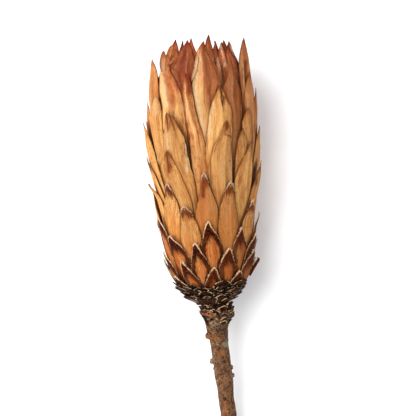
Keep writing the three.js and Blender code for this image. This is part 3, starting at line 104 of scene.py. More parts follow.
# whorls whose bracts stand side by side: name, layer, kind, foot height, teeth
WHORLS = [
  ["bract_whorl_base", 0, "low", 1, [
    [[11.2,5.6], [[10.3,-0.1,10.1],[8.4,-5.7,13.5],[6.5,-9.3,16.6],[4.6,-12.8,20.6],[3,-13.9,20.2]]],
    [[9.5,44.7], [[8.4,39,53.8],[6.5,33.8,63.2],[4.6,32.4,78]]],
    [[17.1,67.4], [[15.6,61.3,77.9],[14.1,57.1,80.9],[12.2,53.1,86.1],[10.3,50.7,87.4],[8.4,51.3,87.4],[6.5,53.4,85.7]]],
    [[14.2,96], [[13.1,89.6,102.4],[11.7,85,107],[9.8,80.6,111.4],[6.8,77,115],[2.2,77,115]]],
    [[12.5,124], [[11.3,119.3,128.7],[9.9,115.7,132.3],[8,111.7,136.3],[5,106.8,141.2]]],
    [[10.5,152], [[9.3,147.1,156.9],[7.9,143.2,160.8],[6,138.8,165.2],[3,132.8,171.2]]],
    [[13.5,-178], [[12.3,-182.6,-173.4],[10.9,-186.2,-169.8],[9,-189.9,-166.1],[6,-194.3,-161.7],[1.5,-199.7,-156.3]]],
    [[11.5,-150], [[10.3,-154.8,-145.2],[8.9,-158.6,-141.4],[7,-162.7,-137.3],[4,-168.1,-131.9]]],
    [[14,-124], [[12.8,-128.6,-119.4],[11.4,-132.1,-115.9],[9.5,-135.8,-112.2],[6.5,-139.9,-108.1],[2,-144.8,-103.2]]],
    [[15,-97], [[13.8,-103.1,-90.9],[12.4,-107.5,-86.5],[10.5,-111.6,-82.4],[7.5,-115,-79],[3,-115,-79]]],
    [[8.7,-62], [[7.5,-68.8,-55.2],[6.1,-73.6,-50.4],[4.2,-78.2,-45.8],[1.2,-82,-42]]],
    [[14.4,-37.3], [[13.3,-42.4,-34],[11.8,-44.3,-30.9],[10.3,-45,-27.5],[8.4,-46.4,-22.7],[6.5,-45.7,-18.1],[4.6,-48.8,-13.7]]],
  ]],
  ["bract_whorl_second", 1, "low", 1, [
    [[20.9,-16.7], [[19.8,-21.3,-12.7],[17.9,-23.6,-9.5],[16,-25.5,-6.7],[14.1,-27.1,-3.4],[12.2,-28,-0.7],[10.3,-27.8,0.6],[8.4,-27.4,-0.5],[6.5,-24.6,-3.5]]],
    [[18.3,25.3], [[17.1,20.1,30.3],[15.2,16,34],[13.3,13.6,37.4],[11.4,12.4,40.4],[9.5,12.9,42.5],[7.6,15.6,42.7]]],
    [[23,72], [[21.8,66.3,77.7],[20.4,62.1,81.9],[18.5,58.2,85.8],[15.5,55,89],[11,55,89]]],
    [[21.3,100], [[20.1,94.3,105.7],[18.7,90.1,109.9],[16.8,86.2,113.8],[13.8,83,117],[9.3,83,117]]],
    [[19,130], [[17.8,125.7,134.3],[16.4,122.5,137.5],[14.5,119.2,140.8],[11.5,116.1,143.9],[7,114.4,145.6]]],
    [[20.5,159], [[19.3,154.8,163.2],[17.9,151.6,166.4],[16,148.4,169.6],[13,145.4,172.6],[8.5,144.1,173.9]]],
    [[18,-172], [[16.8,-176.4,-167.6],[15.4,-179.6,-164.4],[13.5,-183,-161],[10.5,-186.1,-157.9],[6,-188.3,-155.7]]],
    [[20.5,-142], [[19.3,-146.2,-137.8],[17.9,-149.4,-134.6],[16,-152.6,-131.4],[13,-155.6,-128.4],[8.5,-156.9,-127.1]]],
    [[19.5,-112], [[18.3,-116.3,-107.7],[16.9,-119.5,-104.5],[15,-122.7,-101.3],[12,-125.8,-98.2],[7.5,-127.4,-96.6]]],
    [[17.9,-80], [[16.7,-85.7,-74.3],[15.3,-89.9,-70.1],[13.4,-93.8,-66.2],[10.4,-97,-63],[5.9,-97,-63]]],
  ]],
  ["bract_whorl_third", 2, "low", 2.5, [
    [[28.7,0.7], [[27.4,-4.1,3.8],[25.5,-6.1,7.4],[23.6,-7.8,10.9],[21.7,-9.2,14.2],[19.8,-10.2,16.9],[17.9,-10.4,18.3],[16,-9.8,18.7],[13.3,-7.4,17.4]]],
    [[25.8,42], [[24.3,38.8,47.5],[22.4,35.7,51.7],[20.5,33.5,55.9],[18.6,32.2,60.3],[16.7,32.3,64.2],[14.8,34.3,66],[12.9,38.1,65.7]]],
    [[24.1,-52.9], [[22.8,-60.3,-46.5],[20.9,-62.4,-39.8],[19,-62.6,-34.9],[17.1,-63.3,-31.5],[15.2,-64.2,-29.4],[13.3,-63.2,-28.8],[11,-58.7,-30.9]]],
    [[31.2,86], [[29.6,81.7,90.3],[27.2,78,94],[23.2,73.7,98.3],[19.2,70.8,101.2],[13.2,69,103]]],
    [[31.5,-72], [[29.9,-76.3,-67.7],[27.5,-80,-64],[23.5,-84.3,-59.7],[19.5,-87.2,-56.8],[13.5,-89,-55]]],
    [[27.5,115], [[26.3,111,119],[24.9,108,122],[23,105.1,124.9],[20,102.5,127.5],[15.5,101.9,128.1]]],
    [[29.5,144], [[28.3,140,148],[26.9,137.1,150.9],[25,134.3,153.7],[22,131.7,156.3],[17.5,131.2,156.8]]],
    [[26.5,173], [[25.3,169,177],[23.9,166,180],[22,163,183],[19,160.4,185.6],[14.5,159.7,186.3]]],
    [[29,-157], [[27.8,-161,-153],[26.4,-163.9,-150.1],[24.5,-166.8,-147.2],[21.5,-169.4,-144.6],[17,-169.9,-144.1]]],
    [[27,-127], [[25.8,-131,-123],[24.4,-134,-120],[22.5,-136.9,-117.1],[19.5,-139.6,-114.4],[15,-140.2,-113.8]]],
    [[29.5,-99], [[28.3,-103,-95],[26.9,-105.9,-92.1],[25,-108.7,-89.3],[22,-111.3,-86.7],[17.5,-111.8,-86.2]]],
  ]],
  ["crown_whorl_outer", 12, "crown", 15.5, [
    [[97.4,-19.1], [[95.8,-22.7,-15.2],[93.9,-25.4,-11.6],[91.6,-28.3,-8.7],[88.9,-30.8,-7.2],[85.5,-31.2,-7]]],
    [[97.9,-40.1], [[96.1,-43.4,-36.6],[94.2,-45.6,-34.1],[92,-47.3,-31.3],[89.3,-48,-28.8]]],
    [[99.1,18.9], [[97.3,14,21.1],[95.4,11.1,22.4],[93.1,8.9,23.6],[90.4,7.2,24.2]]],
    [[96.1,40.9], [[94.2,36.1,44],[92,32.6,45.6],[89.3,29.6,46.4],[86.3,27.5,45.4]]],
    [[96.4,57.2], [[94.6,51.7,60.8],[92.3,48.4,62.9],[90.1,46.1,65.6],[87.8,44.8,68.7],[85.1,44.3,69],[81.7,44,67.9]]],
    [[93,66], [[90.5,62.8,69.2],[86.5,60.2,71.8],[81,57.6,74.4],[73,56,76],[59,55.5,76.5],[33,56,76]]],
    [[96,92], [[93.5,88.7,95.3],[89.5,86,98],[84,83.4,100.6],[76,81.9,102.1],[62,81.5,102.5],[36,82.1,101.9]]],
    [[94.5,120], [[92,116.7,123.3],[88,114.1,125.9],[82.5,111.5,128.5],[74.5,110,130],[60.5,109.6,130.4],[34.5,110.1,129.9]]],
    [[97.5,150], [[95,146.6,153.4],[91,143.9,156.1],[85.5,141.3,158.7],[77.5,139.8,160.2],[63.5,139.5,160.5],[37.5,140.2,159.8]]],
    [[95.5,178], [[93,174.7,181.3],[89,172,184],[83.5,169.5,186.5],[75.5,167.9,188.1],[61.5,167.6,188.4],[35.5,168.1,187.9]]],
    [[98,-152], [[95.5,-155.4,-148.6],[91.5,-158.2,-145.8],[86,-160.8,-143.2],[78,-162.2,-141.8],[64,-162.5,-141.5],[38,-161.7,-142.3]]],
    [[94,-122], [[91.5,-125.2,-118.8],[87.5,-127.9,-116.1],[82,-130.4,-113.6],[74,-132,-112],[60,-132.4,-111.6],[34,-132,-112]]],
    [[96.5,-94], [[94,-97.3,-90.7],[90,-100,-88],[84.5,-102.6,-85.4],[76.5,-104.1,-83.9],[62.5,-104.5,-83.5],[36.5,-103.8,-84.2]]],
    [[92,-66], [[89.5,-69.1,-62.9],[85.5,-71.7,-60.3],[80,-74.3,-57.7],[72,-76,-56],[58,-76.5,-55.5],[32,-76.1,-55.9]]],
  ]],
  ["crown_whorl_inner", 13.3, "crown", 16.8, [
    [[98.1,-13.8], [[96.1,-17.5,-10.4],[93.9,-20.4,-6.7],[91.2,-22.5,-2.6],[88.2,-23,-0.9]]],
    [[95.9,33], [[94.2,27.5,37.3],[92,23.9,37.5],[89.3,21,36.6]]],
    [[96.9,53.4], [[95,46.3,57.4],[92.7,42.4,60],[90.1,39.3,60]]],
    [[91,58], [[88.5,54.9,61.1],[84.5,52.3,63.7],[79,49.8,66.2],[71,48,68],[57,47.5,68.5],[31,47.8,68.2]]],
    [[93,86], [[90.5,82.8,89.2],[86.5,80.2,91.8],[81,77.6,94.4],[73,76,96],[59,75.5,96.5],[33,76,96]]],
    [[95,110], [[92.5,106.7,113.3],[88.5,104.1,115.9],[83,101.5,118.5],[75,100,120],[61,99.6,120.4],[35,100.1,119.9]]],
    [[92,136], [[89.5,132.9,139.1],[85.5,130.3,141.7],[80,127.7,144.3],[72,126,146],[58,125.5,146.5],[32,125.9,146.1]]],
    [[96,163], [[93.5,159.7,166.3],[89.5,157,169],[84,154.4,171.6],[76,152.9,173.1],[62,152.5,173.5],[36,153.1,172.9]]],
    [[93.5,-170], [[91,-173.2,-166.8],[87,-175.8,-164.2],[81.5,-178.4,-161.6],[73.5,-180,-160],[59.5,-180.4,-159.6],[33.5,-180,-160]]],
    [[95.5,-143], [[93,-146.3,-139.7],[89,-149,-137],[83.5,-151.5,-134.5],[75.5,-153.1,-132.9],[61.5,-153.4,-132.6],[35.5,-152.9,-133.1]]],
    [[92,-113], [[89.5,-116.1,-109.9],[85.5,-118.7,-107.3],[80,-121.3,-104.7],[72,-123,-103],[58,-123.5,-102.5],[32,-123.1,-102.9]]],
    [[95,-82], [[92.5,-85.3,-78.7],[88.5,-87.9,-76.1],[83,-90.5,-73.5],[75,-92,-72],[61,-92.4,-71.6],[35,-91.9,-72.1]]],
    [[93,-50], [[90.5,-53.2,-46.8],[86.5,-55.8,-44.2],[81,-58.4,-41.6],[73,-60,-40],[59,-60.5,-39.5],[33,-60,-40]]],
    [[94.5,-26], [[92,-29.3,-22.7],[88,-31.9,-20.1],[82.5,-34.5,-17.5],[74.5,-36,-16],[60.5,-36.4,-15.6],[34.5,-35.9,-16.1]]],
  ]],
]
PILE = [
  [0.00,0.00,0.00,0.00,0.00,0.00,0.00,0.00,0.00,0.00,0.00,0.00,0.00,0.00,0.00,0.00,0.00,0.00],
  [0.16,0.15,0.15,0.16,0.17,0.16,0.13,0.11,0.12,0.13,0.13,0.12,0.11,0.11,0.12,0.13,0.14,0.15],
  [0.33,0.32,0.31,0.31,0.33,0.33,0.32,0.29,0.29,0.31,0.32,0.29,0.26,0.25,0.27,0.30,0.31,0.33],
  [0.63,0.61,0.59,0.57,0.58,0.61,0.64,0.62,0.61,0.62,0.63,0.59,0.53,0.50,0.54,0.58,0.61,0.63],
  [1.05,1.04,1.02,0.98,0.97,1.02,1.07,1.07,1.05,1.03,1.02,0.98,0.91,0.88,0.93,1.00,1.04,1.05],
  [1.57,1.57,1.56,1.52,1.49,1.51,1.56,1.59,1.56,1.49,1.45,1.42,1.37,1.34,1.39,1.49,1.56,1.58],
  [2.20,2.20,2.21,2.16,2.12,2.14,2.17,2.17,2.10,2.00,1.93,1.88,1.82,1.80,1.87,2.03,2.18,2.22],
  [2.99,2.93,2.89,2.84,2.81,2.83,2.81,2.71,2.57,2.44,2.33,2.29,2.29,2.33,2.47,2.71,2.92,3.02],
  [3.75,3.63,3.55,3.51,3.48,3.44,3.33,3.13,2.93,2.77,2.72,2.80,2.92,3.02,3.18,3.42,3.64,3.77],
  [4.36,4.26,4.19,4.18,4.13,4.02,3.79,3.52,3.31,3.20,3.30,3.48,3.60,3.68,3.83,4.05,4.25,4.38],
  [4.87,4.83,4.81,4.82,4.81,4.66,4.34,3.99,3.77,3.69,3.81,3.97,4.12,4.25,4.39,4.55,4.73,4.85],
  [5.23,5.20,5.22,5.32,5.40,5.33,5.03,4.62,4.27,4.05,4.08,4.28,4.53,4.75,4.88,5.00,5.15,5.23],
  [5.56,5.53,5.57,5.75,5.91,5.90,5.64,5.20,4.74,4.39,4.37,4.65,5.04,5.36,5.50,5.54,5.58,5.59],
  [5.92,5.90,5.98,6.21,6.42,6.44,6.17,5.67,5.14,4.78,4.79,5.17,5.65,5.96,6.03,5.96,5.93,5.93],
  [6.40,6.36,6.37,6.58,6.87,6.96,6.68,6.11,5.50,5.16,5.23,5.63,6.05,6.29,6.33,6.27,6.28,6.36],
  [6.80,6.75,6.66,6.81,7.17,7.34,7.11,6.55,5.90,5.54,5.59,5.90,6.25,6.44,6.49,6.47,6.53,6.69],
  [6.98,6.95,6.83,6.98,7.35,7.51,7.31,6.82,6.20,5.81,5.79,6.04,6.35,6.55,6.60,6.58,6.65,6.84],
  [7.08,7.05,6.95,7.12,7.48,7.61,7.41,6.92,6.31,5.92,5.89,6.13,6.44,6.64,6.69,6.67,6.74,6.93],
]
# ---------------------------------------------------------------- head coordinates
FOOT = {"low": 0.72, "mid": 0.6, "long": 0.52, "tall": 0.46, "crown": 0.45, "scale": 0.8}


def pchip(x, y):
    x, y = np.asarray(x, float), np.asarray(y, float)
    h = np.diff(x); d = np.diff(y) / h
    m = np.zeros(len(x)); m[0], m[-1] = d[0], d[-1]
    for i in range(1, len(x) - 1):
        if d[i - 1] * d[i] > 0:
            w1, w2 = 2 * h[i] + h[i - 1], h[i] + 2 * h[i - 1]
            m[i] = (w1 + w2) / (w1 / d[i - 1] + w2 / d[i])
    def f(q):
        q = np.clip(q, x[0], x[-1])
        i = np.clip(np.searchsorted(x, q) - 1, 0, len(x) - 2)
        t = (q - x[i]) / h[i]
        return ((1 + 2 * t) * (1 - t) ** 2 * y[i] + t * (1 - t) ** 2 * h[i] * m[i]
                + t * t * (3 - 2 * t) * y[i + 1] + t * t * (t - 1) * h[i] * m[i + 1])
    return f


outline = pchip([p[0] for p in OUTLINE], [p[1] for p in OUTLINE])
GRID = np.array(PILE, float)


def cubic(a, b, c, d, t):
    return b + 0.5 * t * (c - a + t * (2 * a - 5 * b + 4 * c - d + t * (3 * (b - c) + d - a)))


def pile(h, a):
    top, n = GRID.shape[0] - 1, GRID.shape[1]
    h = np.clip(h, 0, top * 6 - 1e-6)
    i = np.floor(h / 6).astype(int); t = h / 6 - i
    q = np.mod(a + 180, 360) / 20; j = np.floor(q).astype(int) % n; u = q - np.floor(q)
    def row(k):
        k = np.clip(k, 0, top)
        return cubic(GRID[k, (j - 1) % n], GRID[k, j], GRID[k, (j + 1) % n], GRID[k, (j + 2) % n], u)
    r0 = row(i)
    before = np.where(i > 0, row(i - 1), 2 * r0 - row(i + 1))
    return cubic(before, r0, row(i + 1), row(i + 2), t)


def spread(h):
    t = np.clip((h - 68) / 32, 0, 1)
    return 1 + 0.7 * t * t * (3 - 2 * t)


def skin(d, h, a):
    return outline(h) - (d * PITCH - pile(h, a)) * spread(h)


def place(r, h, a):
    """Head coordinates to the row frame, mm."""
    r, h, a = np.broadcast_arrays(np.asarray(r, float), h, a)
    s, c = np.sin(np.radians(a)), np.cos(np.radians(a))
    full = outline(h) + 0.45
    z = AXIS_Z + RISE * h + r * c
    under = -(AXIS_Z + RISE * h + full * c)
    z = z + np.maximum(under, 0) * np.clip(1 - (full - r) / RELAX, 0, 1)
    x = r * s
    k, l = math.cos(math.radians(LEAN)), math.sin(math.radians(LEAN))
    return np.stack([x * k - h * l, x * l + h * k, z], -1) + SHIFT


def smooth(a, b, x):
    t = np.clip((x - a) / (b - a), 0, 1)
    return t * t * (3 - 2 * t)


class Wave:
    """Smooth seeded noise from a few sine waves, about -1 to 1."""
    def __init__(self, rng, fx, fy, n=5):
        self.k = rng.uniform(0.55, 1.45, (n, 2)) * [fx, fy] * 2 * math.pi
        self.k[:, 1] *= rng.choice([-1, 1], n)
        self.p = rng.uniform(0, 6.28, n)
    def __call__(self, x, y):
        return sum(np.sin(kx * x + ky * y + p) for (kx, ky), p in zip(self.k, self.p)) / math.sqrt(len(self.p)) * 0.8


# ---------------------------------------------------------------- pieces
class Piece:
    """Collects closed shells, each vertex with its place on its own bract."""
    def __init__(self, name):
        self.name, self.v, self.f, self.m, self.n, self.shells = name, [], [], [], 0, []
        self.att = {"spot": [], "grain": [], "trait": []}
        self.sharp = []
    def add(self, v, faces, mat, spot, grain, trait):
        v = np.asarray(v, float).reshape(-1, 3)
        self.v.append(v)
        for key, val in (("spot", spot), ("grain", grain), ("trait", trait)):
            self.att[key].append(np.broadcast_to(np.asarray(val, float), v.shape).reshape(-1, 3))
        for f in faces:
            f = np.asarray(f) + self.n
            self.f.append(f); self.m.append(np.full(len(f), mat))
        self.n += len(v)
    def build(self, mats, nodes, slot, smooth_angle=None):
        me = bpy.data.meshes.new(self.name)
        v = np.concatenate(self.v)
        v[:, 2] = 0.5 * (v[:, 2] + np.sqrt(v[:, 2] ** 2 + 0.04))      # the underside is pressed flat on the floor
        v *= 0.001
        faces = [tuple(int(i) for i in q) for f in self.f for q in f]
        me.from_pydata([tuple(p) for p in v], [], faces)
        me.polygons.foreach_set("material_index", np.concatenate(self.m).astype(np.int32))
        me.polygons.foreach_set("use_smooth", np.ones(len(faces), bool))
        for key, parts in self.att.items():
            a = me.attributes.new(key, "FLOAT_VECTOR", "POINT")
            a.data.foreach_set("vector", np.concatenate(parts).astype(np.float32).ravel())
        # painted shade under covering bracts, 0 to 1
        a = me.attributes.new("crevice", "FLOAT", "POINT")
        a.data.foreach_set("value", (np.zeros(self.n) if getattr(self, "crev", None) is None else self.crev).astype(np.float32))
        # painted light on the ridges and hollows of the folds
        a = me.attributes.new("fold", "FLOAT", "POINT")
        a.data.foreach_set("value", (np.zeros(self.n) if getattr(self, "fold", None) is None else self.fold).astype(np.float32))
        me.validate()
        me.update()
        for m in mats:
            me.materials.append(m)
        if smooth_angle:
            me.set_sharp_from_angle(angle=math.radians(smooth_angle))
        ob = bpy.data.objects.new(self.name, me)
        bpy.context.scene.collection.objects.link(ob)
        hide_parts(*nodes)
        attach(ob, "root")
        return ob


def grid_shell(nu, nv):
    """Faces of a closed shell made of an outer and an inner (nv+1) x (nu+1) grid."""
    w = nu + 1; N = (nv + 1) * w
    i, j = np.meshgrid(np.arange(nv), np.arange(nu), indexing="ij")
    a = (i * w + j).ravel()
    out = np.stack([a, a + 1, a + w + 1, a + w], 1)
    inn = out[:, ::-1] + N
    e0 = np.arange(nv) * w; e1 = e0 + nu
    left = np.stack([e0, e0 + w, e0 + w + N, e0 + N], 1)
    right = np.stack([e1, e1 + N, e1 + w + N, e1 + w], 1)
    b = np.arange(nu); top = nv * w + b
    low = np.stack([b, b + N, b + 1 + N, b + 1], 1)
    high = np.stack([top, top + 1, top + 1 + N, top + N], 1)
    return [out, inn, left, right, low, high]


SIZES = {"scale": (8, 12), "low": (16, 30), "mid": (18, 40), "long": (18, 50), "tall": (20, 58), "crown": (14, 44)}
LOOK = {   # fringe reach mm, hairs per mm, hair length, keel, flare of the tip, pink reach mm, dark tip reach mm
    "scale": dict(fringe=0, dense=0, hair=0.5, keel=0.0, flare=1.5, flare_t=3.2, thick=0.30),
    "low": dict(fringe=9.0, dense=7, hair=0.6, keel=0.22, flare=0.7, thick=0.42, tuft=70, thin=0.22, thin_t=10.0, blunt=0.55, round=1.5),
    "mid": dict(fringe=3.6, dense=7, hair=0.7, keel=0.24, flare=0.6, thick=0.38, crease=0.06, period=3.0, tuft=60, thin=0.15, thin_t=6.0, blunt=0.42, round=1.2),
    "long": dict(fringe=0, dense=0, hair=0.4, keel=0.18, flare=0.3, thick=0.36, tent=0.75, crease=0.15, period=3.4),
    "tall": dict(fringe=0, dense=0, hair=0.4, keel=0.12, flare=0.0, thick=0.36, tent=1.0, crease=0.26, period=3.8),
    "crown": dict(fringe=0, dense=0, hair=0.4, keel=0.10, flare=-2.6, flare_t=17, thick=0.34, tent=0.6, crease=0.28, period=2.8),
}


def hairs(P, root, way, length, width, mat, spot, grain, trait, rng):
    """Thin three-sided spikes."""
    n = len(root)
    if not n:
        return
    way = way / np.maximum(np.linalg.norm(way, axis=1, keepdims=True), 1e-9)
    ref = np.tile([0.3, 0.2, 0.93], (n, 1))
    s = np.cross(way, ref); s /= np.maximum(np.linalg.norm(s, axis=1, keepdims=True), 1e-9)
    q = np.cross(way, s)
    w = (np.asarray(width) * np.ones(n))[:, None]; L = np.asarray(length)[:, None]
    bend = q * rng.uniform(-0.25, 0.25, (n, 1)) * L + s * rng.uniform(-0.25, 0.25, (n, 1)) * L
    start = root - way * 0.12
    pts = [start + w * (s * math.cos(k * 2.0944) + q * math.sin(k * 2.0944)) * 0.5 for k in range(3)]
    mid = root + way * L * 0.55 + bend * 0.3
    pts += [mid + w * 0.75 * (s * math.cos(k * 2.0944) + q * math.sin(k * 2.0944)) * 0.5 for k in range(3)]
    pts += [root + way * L + bend]
    v = np.stack(pts, 1)
    b = np.arange(n) * 7
    tri, quads = [], []
    for k in range(3):
        m = (k + 1) % 3
        quads.append(np.stack([b + k, b + m, b + 3 + m, b + 3 + k], 1))
        tri.append(np.stack([b + 3 + k, b + 3 + m, b + 6], 1))
    tri.append(np.stack([b + 2, b + 1, b], 1))
    rep = lambda x: np.repeat(np.broadcast_to(np.asarray(x, float), (n, 3)), 7, axis=0)
    P.add(v.reshape(-1, 3), quads + tri, mat, rep(spot), rep(grain), rep(trait))


def bract(P, kind, d, foot, tip, rows, seed, **opt):
    o = dict(LOOK[kind]); o.update(opt)
    rng = np.random.default_rng(seed)
    nu, nv = (34, 70) if o.get("close") else SIZES[kind]
    ht, pt = tip
    rows = sorted(rows)
    last = rows[0]
    mid, half = (last[1] + last[2]) / 2, (last[2] - last[1]) / 2
    H = [r[0] for r in rows]; Lf = [r[1] for r in rows]; Rt = [r[2] for r in rows]
    if H[0] - foot > 1.0:
        H = [foot] + H; Lf = [mid - half * FOOT[kind]] + Lf; Rt = [mid + half * FOOT[kind]] + Rt
    R0 = float(skin(d, ht, pt)); tw = math.degrees(o.get("blunt", 0.16) / R0)
    H.append(ht); Lf.append(pt - tw); Rt.append(pt + tw)
    left, right = pchip(H, Lf), pchip(H, Rt)
    L = ht - foot
    s = np.linspace(0, 1, nv + 1)
    t = L * (0.16 * (1 - s) + 0.84 * (1 - s) ** 1.8)
    h = ht - t
    # ragged margins
    R = skin(d, h, pt)
    rag = o.get("ragged", 0.10) * smooth(0, 4, t)
    wl, wr = Wave(rng, 0.16, 0), Wave(rng, 0.16, 0)
    fl, fr = Wave(rng, 0.7, 0), Wave(rng, 0.7, 0)
    al = left(h) + np.degrees(rag * (wl(h, 0) + 0.35 * fl(h, 0)) / R)
    ar = right(h) + np.degrees(rag * (wr(h, 0) + 0.35 * fr(h, 0)) / R)
    ar = np.maximum(ar, al + 2 * tw * 0.8)
    thin = o.get("thin", 1.0)      # draws the last millimetres in to a finer point
    f = np.clip(t / o.get("thin_t", 7.0), 0.05, 1) ** thin if thin < 1 else 1.0
    if "round" in o:      # a worn, rounded point
        f = f * np.sqrt(1 - np.clip(1 - (t + 0.06) / o["round"], 0, 1) ** 2)
    ctr = (al + ar) / 2
    al, ar = ctr + (al - ctr) * f, ctr + (ar - ctr) * f
    x = np.linspace(-1, 1, nu + 1); u = np.sign(x) * np.abs(x) ** 0.85
    a = (al + ar)[:, None] / 2 + (ar - al)[:, None] / 2 * u[None, :]
    T, U = t[:, None] + 0 * a, u[None, :] + 0 * a
    Hh = h[:, None] + 0 * a
    W = np.radians((ar - al) / 2)[:, None] * skin(d, h, (al + ar) / 2)[:, None] + 0 * a
    w = U * W
    seen = 1 - smooth(14, 34, T) if kind in ("mid", "low", "scale") else 1 - smooth(22, 50, T)
    edge = (1 - np.abs(U)) * W
    dr = -0.24 * np.abs(U) ** 5 * smooth(0.5, 4, T)
    keel_at = o.get("keel_at", 0.0)
    dr += o["keel"] * np.exp(-((w - keel_at * W) / 0.55) ** 2) * smooth(1, 10, T) * seen
    dr += 0.10 * (1 - U * U) * seen
    fold = 0 * U      # painted light: lighter on the ridges of its folds, darker in the hollows
    tent = o.get("tent", 0)
    if tent:      # a long fold line with a flat plane on each side
        c0 = o.get("tent_at", rng.uniform(-0.45, 0.45))
        c1 = c0 + 0.10 * Wave(rng, 0.03, 0)(Hh, 0)
        ramp = 1 - np.where(U < c1, (c1 - U) / (1 + c1), (U - c1) / (1 - c1))
        dr += tent * (ramp - 0.35) * smooth(0.5, 9, T) * seen
        c2 = np.clip(c1 + (1 if c0 < 0 else -1) * rng.uniform(0.4, 0.6), -0.8, 0.8)
        dr -= 0.30 * min(tent, 1.2) * np.exp(-((U - c2) / 0.13) ** 2) * smooth(3, 14, T) * seen
        gain = min(tent, 1.2) * seen * smooth(0.5, 6, T)
        # the tanh term paints the plane left of the ridge lighter and the right one darker, as lit from the left
        fold = fold + gain * (0.9 * np.exp(-((U - c1) * W / 0.34) ** 2) - 0.7 * np.exp(-((U - c2) * W / 0.5) ** 2) + 0.5 * np.tanh((c1 - U) * W / 0.5) * (1 - smooth(12, 32, T)))
    crease = o.get("crease", 0)
    if crease:      # sharper folds, as a drying bract crumples
        rc = np.random.default_rng(seed + 9000)
        turns = (w + 1.5 * Wave(rc, 0.05, 0.02)(w, Hh)) / o["period"] + rc.uniform(0, 1)
        tri = (1 - 2 * np.abs(np.mod(turns, 1) * 2 - 1)) * (0.65 + 0.35 * Wave(rc, 0.06, 0.04)(w, Hh)) * seen * smooth(2, 12, T) * smooth(0, 1.2, edge)
        dr += crease * tri
        # painted light on the creases: ridges lighter, hollows darker
        fold = fold + min(crease * 3.0, 0.6) * np.sign(tri) * np.abs(tri) ** 1.6
    rib = Wave(rng, 0.85, 0.015, 4)
    dr += 0.030 * rib(w, Hh) * seen * smooth(0.5, 3, T)
    big = Wave(rng, 0.13, 0.05, 4)
    dr += o.get("wave", 0.10) * big(w, Hh) * seen * smooth(1, 6, T)
    dr += o["flare"] * smooth(o.get("flare_t", 7), 0, T) ** 1.5 * (1 - 0.3 * U * U)
    for side in (-1, 1):      # margins that roll outwards, with their range down from the tip
        c = o.get("curl_l" if side < 0 else "curl_r")
        if c:
            amount, t0, t1, width = c
            m = np.clip(1 - edge / width, 0, 1) * (np.sign(U) == side) * smooth(t0 - 2, t0 + 3, T) * (1 - smooth(t1 - 4, t1 + 2, T))
            dr += amount * m * m
            a = a - side * np.degrees(0.55 * amount * m ** 2 / W.clip(1)) * 0.4
    if kind == "scale":      # drawn in at its foot, so the lowest ones meet the neck
        dr -= 0.85 * abs(d) * PITCH * smooth(foot + 2.6, foot, Hh)
    rr = skin(d, Hh, a) + dr
    th = (o["thick"] * (1 - 0.55 * np.abs(U) ** 3) * (0.35 + 0.65 * smooth(0, 5, T))).clip(0.07)
    outer, inner = place(rr, Hh, a), place(rr - th, Hh, a)
    spot = np.stack([U, T, edge], -1)
    grain = np.stack([w, Hh, 0 * w + seed % 97 + 0.37 * (seed % 13)], -1)
    trait = np.broadcast_to(np.array([o.get("tone", 1.0), o.get("pink", 0.3), o.get("dark", 0.5)]), spot.shape)
    P.add(np.concatenate([outer.reshape(-1, 3), inner.reshape(-1, 3)]), grid_shell(nu, nv), 0,
          np.concatenate([spot.reshape(-1, 3)] * 2), np.concatenate([grain.reshape(-1, 3)] * 2), np.concatenate([trait.reshape(-1, 3)] * 2))
    # fringe of hairs on the margins near the tip
    P.shells.append(dict(start=P.n - 2 * (nu + 1) * (nv + 1), count=(nu + 1) * (nv + 1), d=d, h=Hh.ravel(), a=a.ravel(), r=rr.ravel(), tip=ht, foot=foot, left=left, right=right, mid=pt, reach=0.35 if kind == "scale" else 0.0, fold=fold.ravel(), deep=0.35 if kind == "crown" else 0.9))
    reach, dens = o["fringe"], o["dense"]
    if reach > 0:
        m = int(2 * reach * dens) + o.get("tuft", 0)
        tt = reach * rng.uniform(0, 1, m) ** 1.25
        if o.get("tuft", 0):
            tt[:o["tuft"]] = rng.uniform(0, 1.3, o["tuft"])
        side = rng.integers(0, 2, m)
        col = np.where(side == 0, 0, nu)
        order = np.argsort(t)
        mids = (outer * 0.6 + inner * 0.4)
        def at(grid, cols):
            res = np.empty((m, 3))
            for cc in (0, nu, 1, nu - 1):
                k = cols == cc
                if k.any():
                    for ax in range(3):
                        res[k, ax] = np.interp(tt[k], t[order], grid[order, cc, ax])
            return res
        root = at(mids, col); neigh = at(mids, np.where(side == 0, 1, nu - 1))
        up = at(np.roll(mids, -1, axis=0), col) - root
        up = np.where(np.linalg.norm(up, axis=1, keepdims=True) < 1e-6, [[0, 1, 0]], up)
        lat = root - neigh; lat /= np.linalg.norm(lat, axis=1, keepdims=True).clip(1e-6)
        upn = np.tile([-0.053, 0.998, 0.05], (m, 1))
        ca = np.interp(tt, t[order], ((al + ar) / 2)[order])
        nrm = np.stack([np.sin(np.radians(ca)), 0 * ca, np.cos(np.radians(ca))], 1)
        way = lat * rng.uniform(0.35, 1.1, (m, 1)) + upn * rng.uniform(0.5, 1.2, (m, 1)) + nrm * rng.uniform(-0.1, 0.45, (m, 1))
        ln = o["hair"] * rng.uniform(0.45, 1.15, m) * (1 - 0.4 * tt / reach)
        sp = np.stack([0 * tt, tt, 0 * tt], 1)
        gr = np.stack([rng.uniform(0, 10, m), rng.uniform(0, 10, m), rng.uniform(0, 10, m)], 1)
        hairs(P, root, way, ln, 0.105, 1, sp, gr, [o.get("tone", 1.0), 0, 0], rng)
    fuzz = o.get("fuzz", 0)
    if fuzz:
        m = fuzz
        ti = rng.uniform(0, 1, m) ** 1.4 * o.get("fuzz_reach", 5.0); ui = rng.uniform(-0.95, 0.95, m)
        order = np.argsort(t); iv = np.interp(ti, t[order], np.arange(nv + 1)[order])
        ju = np.interp(ui, u, np.arange(nu + 1))
        i0 = np.clip(iv.astype(int), 0, nv - 1); j0 = np.clip(ju.astype(int), 0, nu - 1)
        fv, fu = (iv - i0)[:, None], (ju - j0)[:, None]
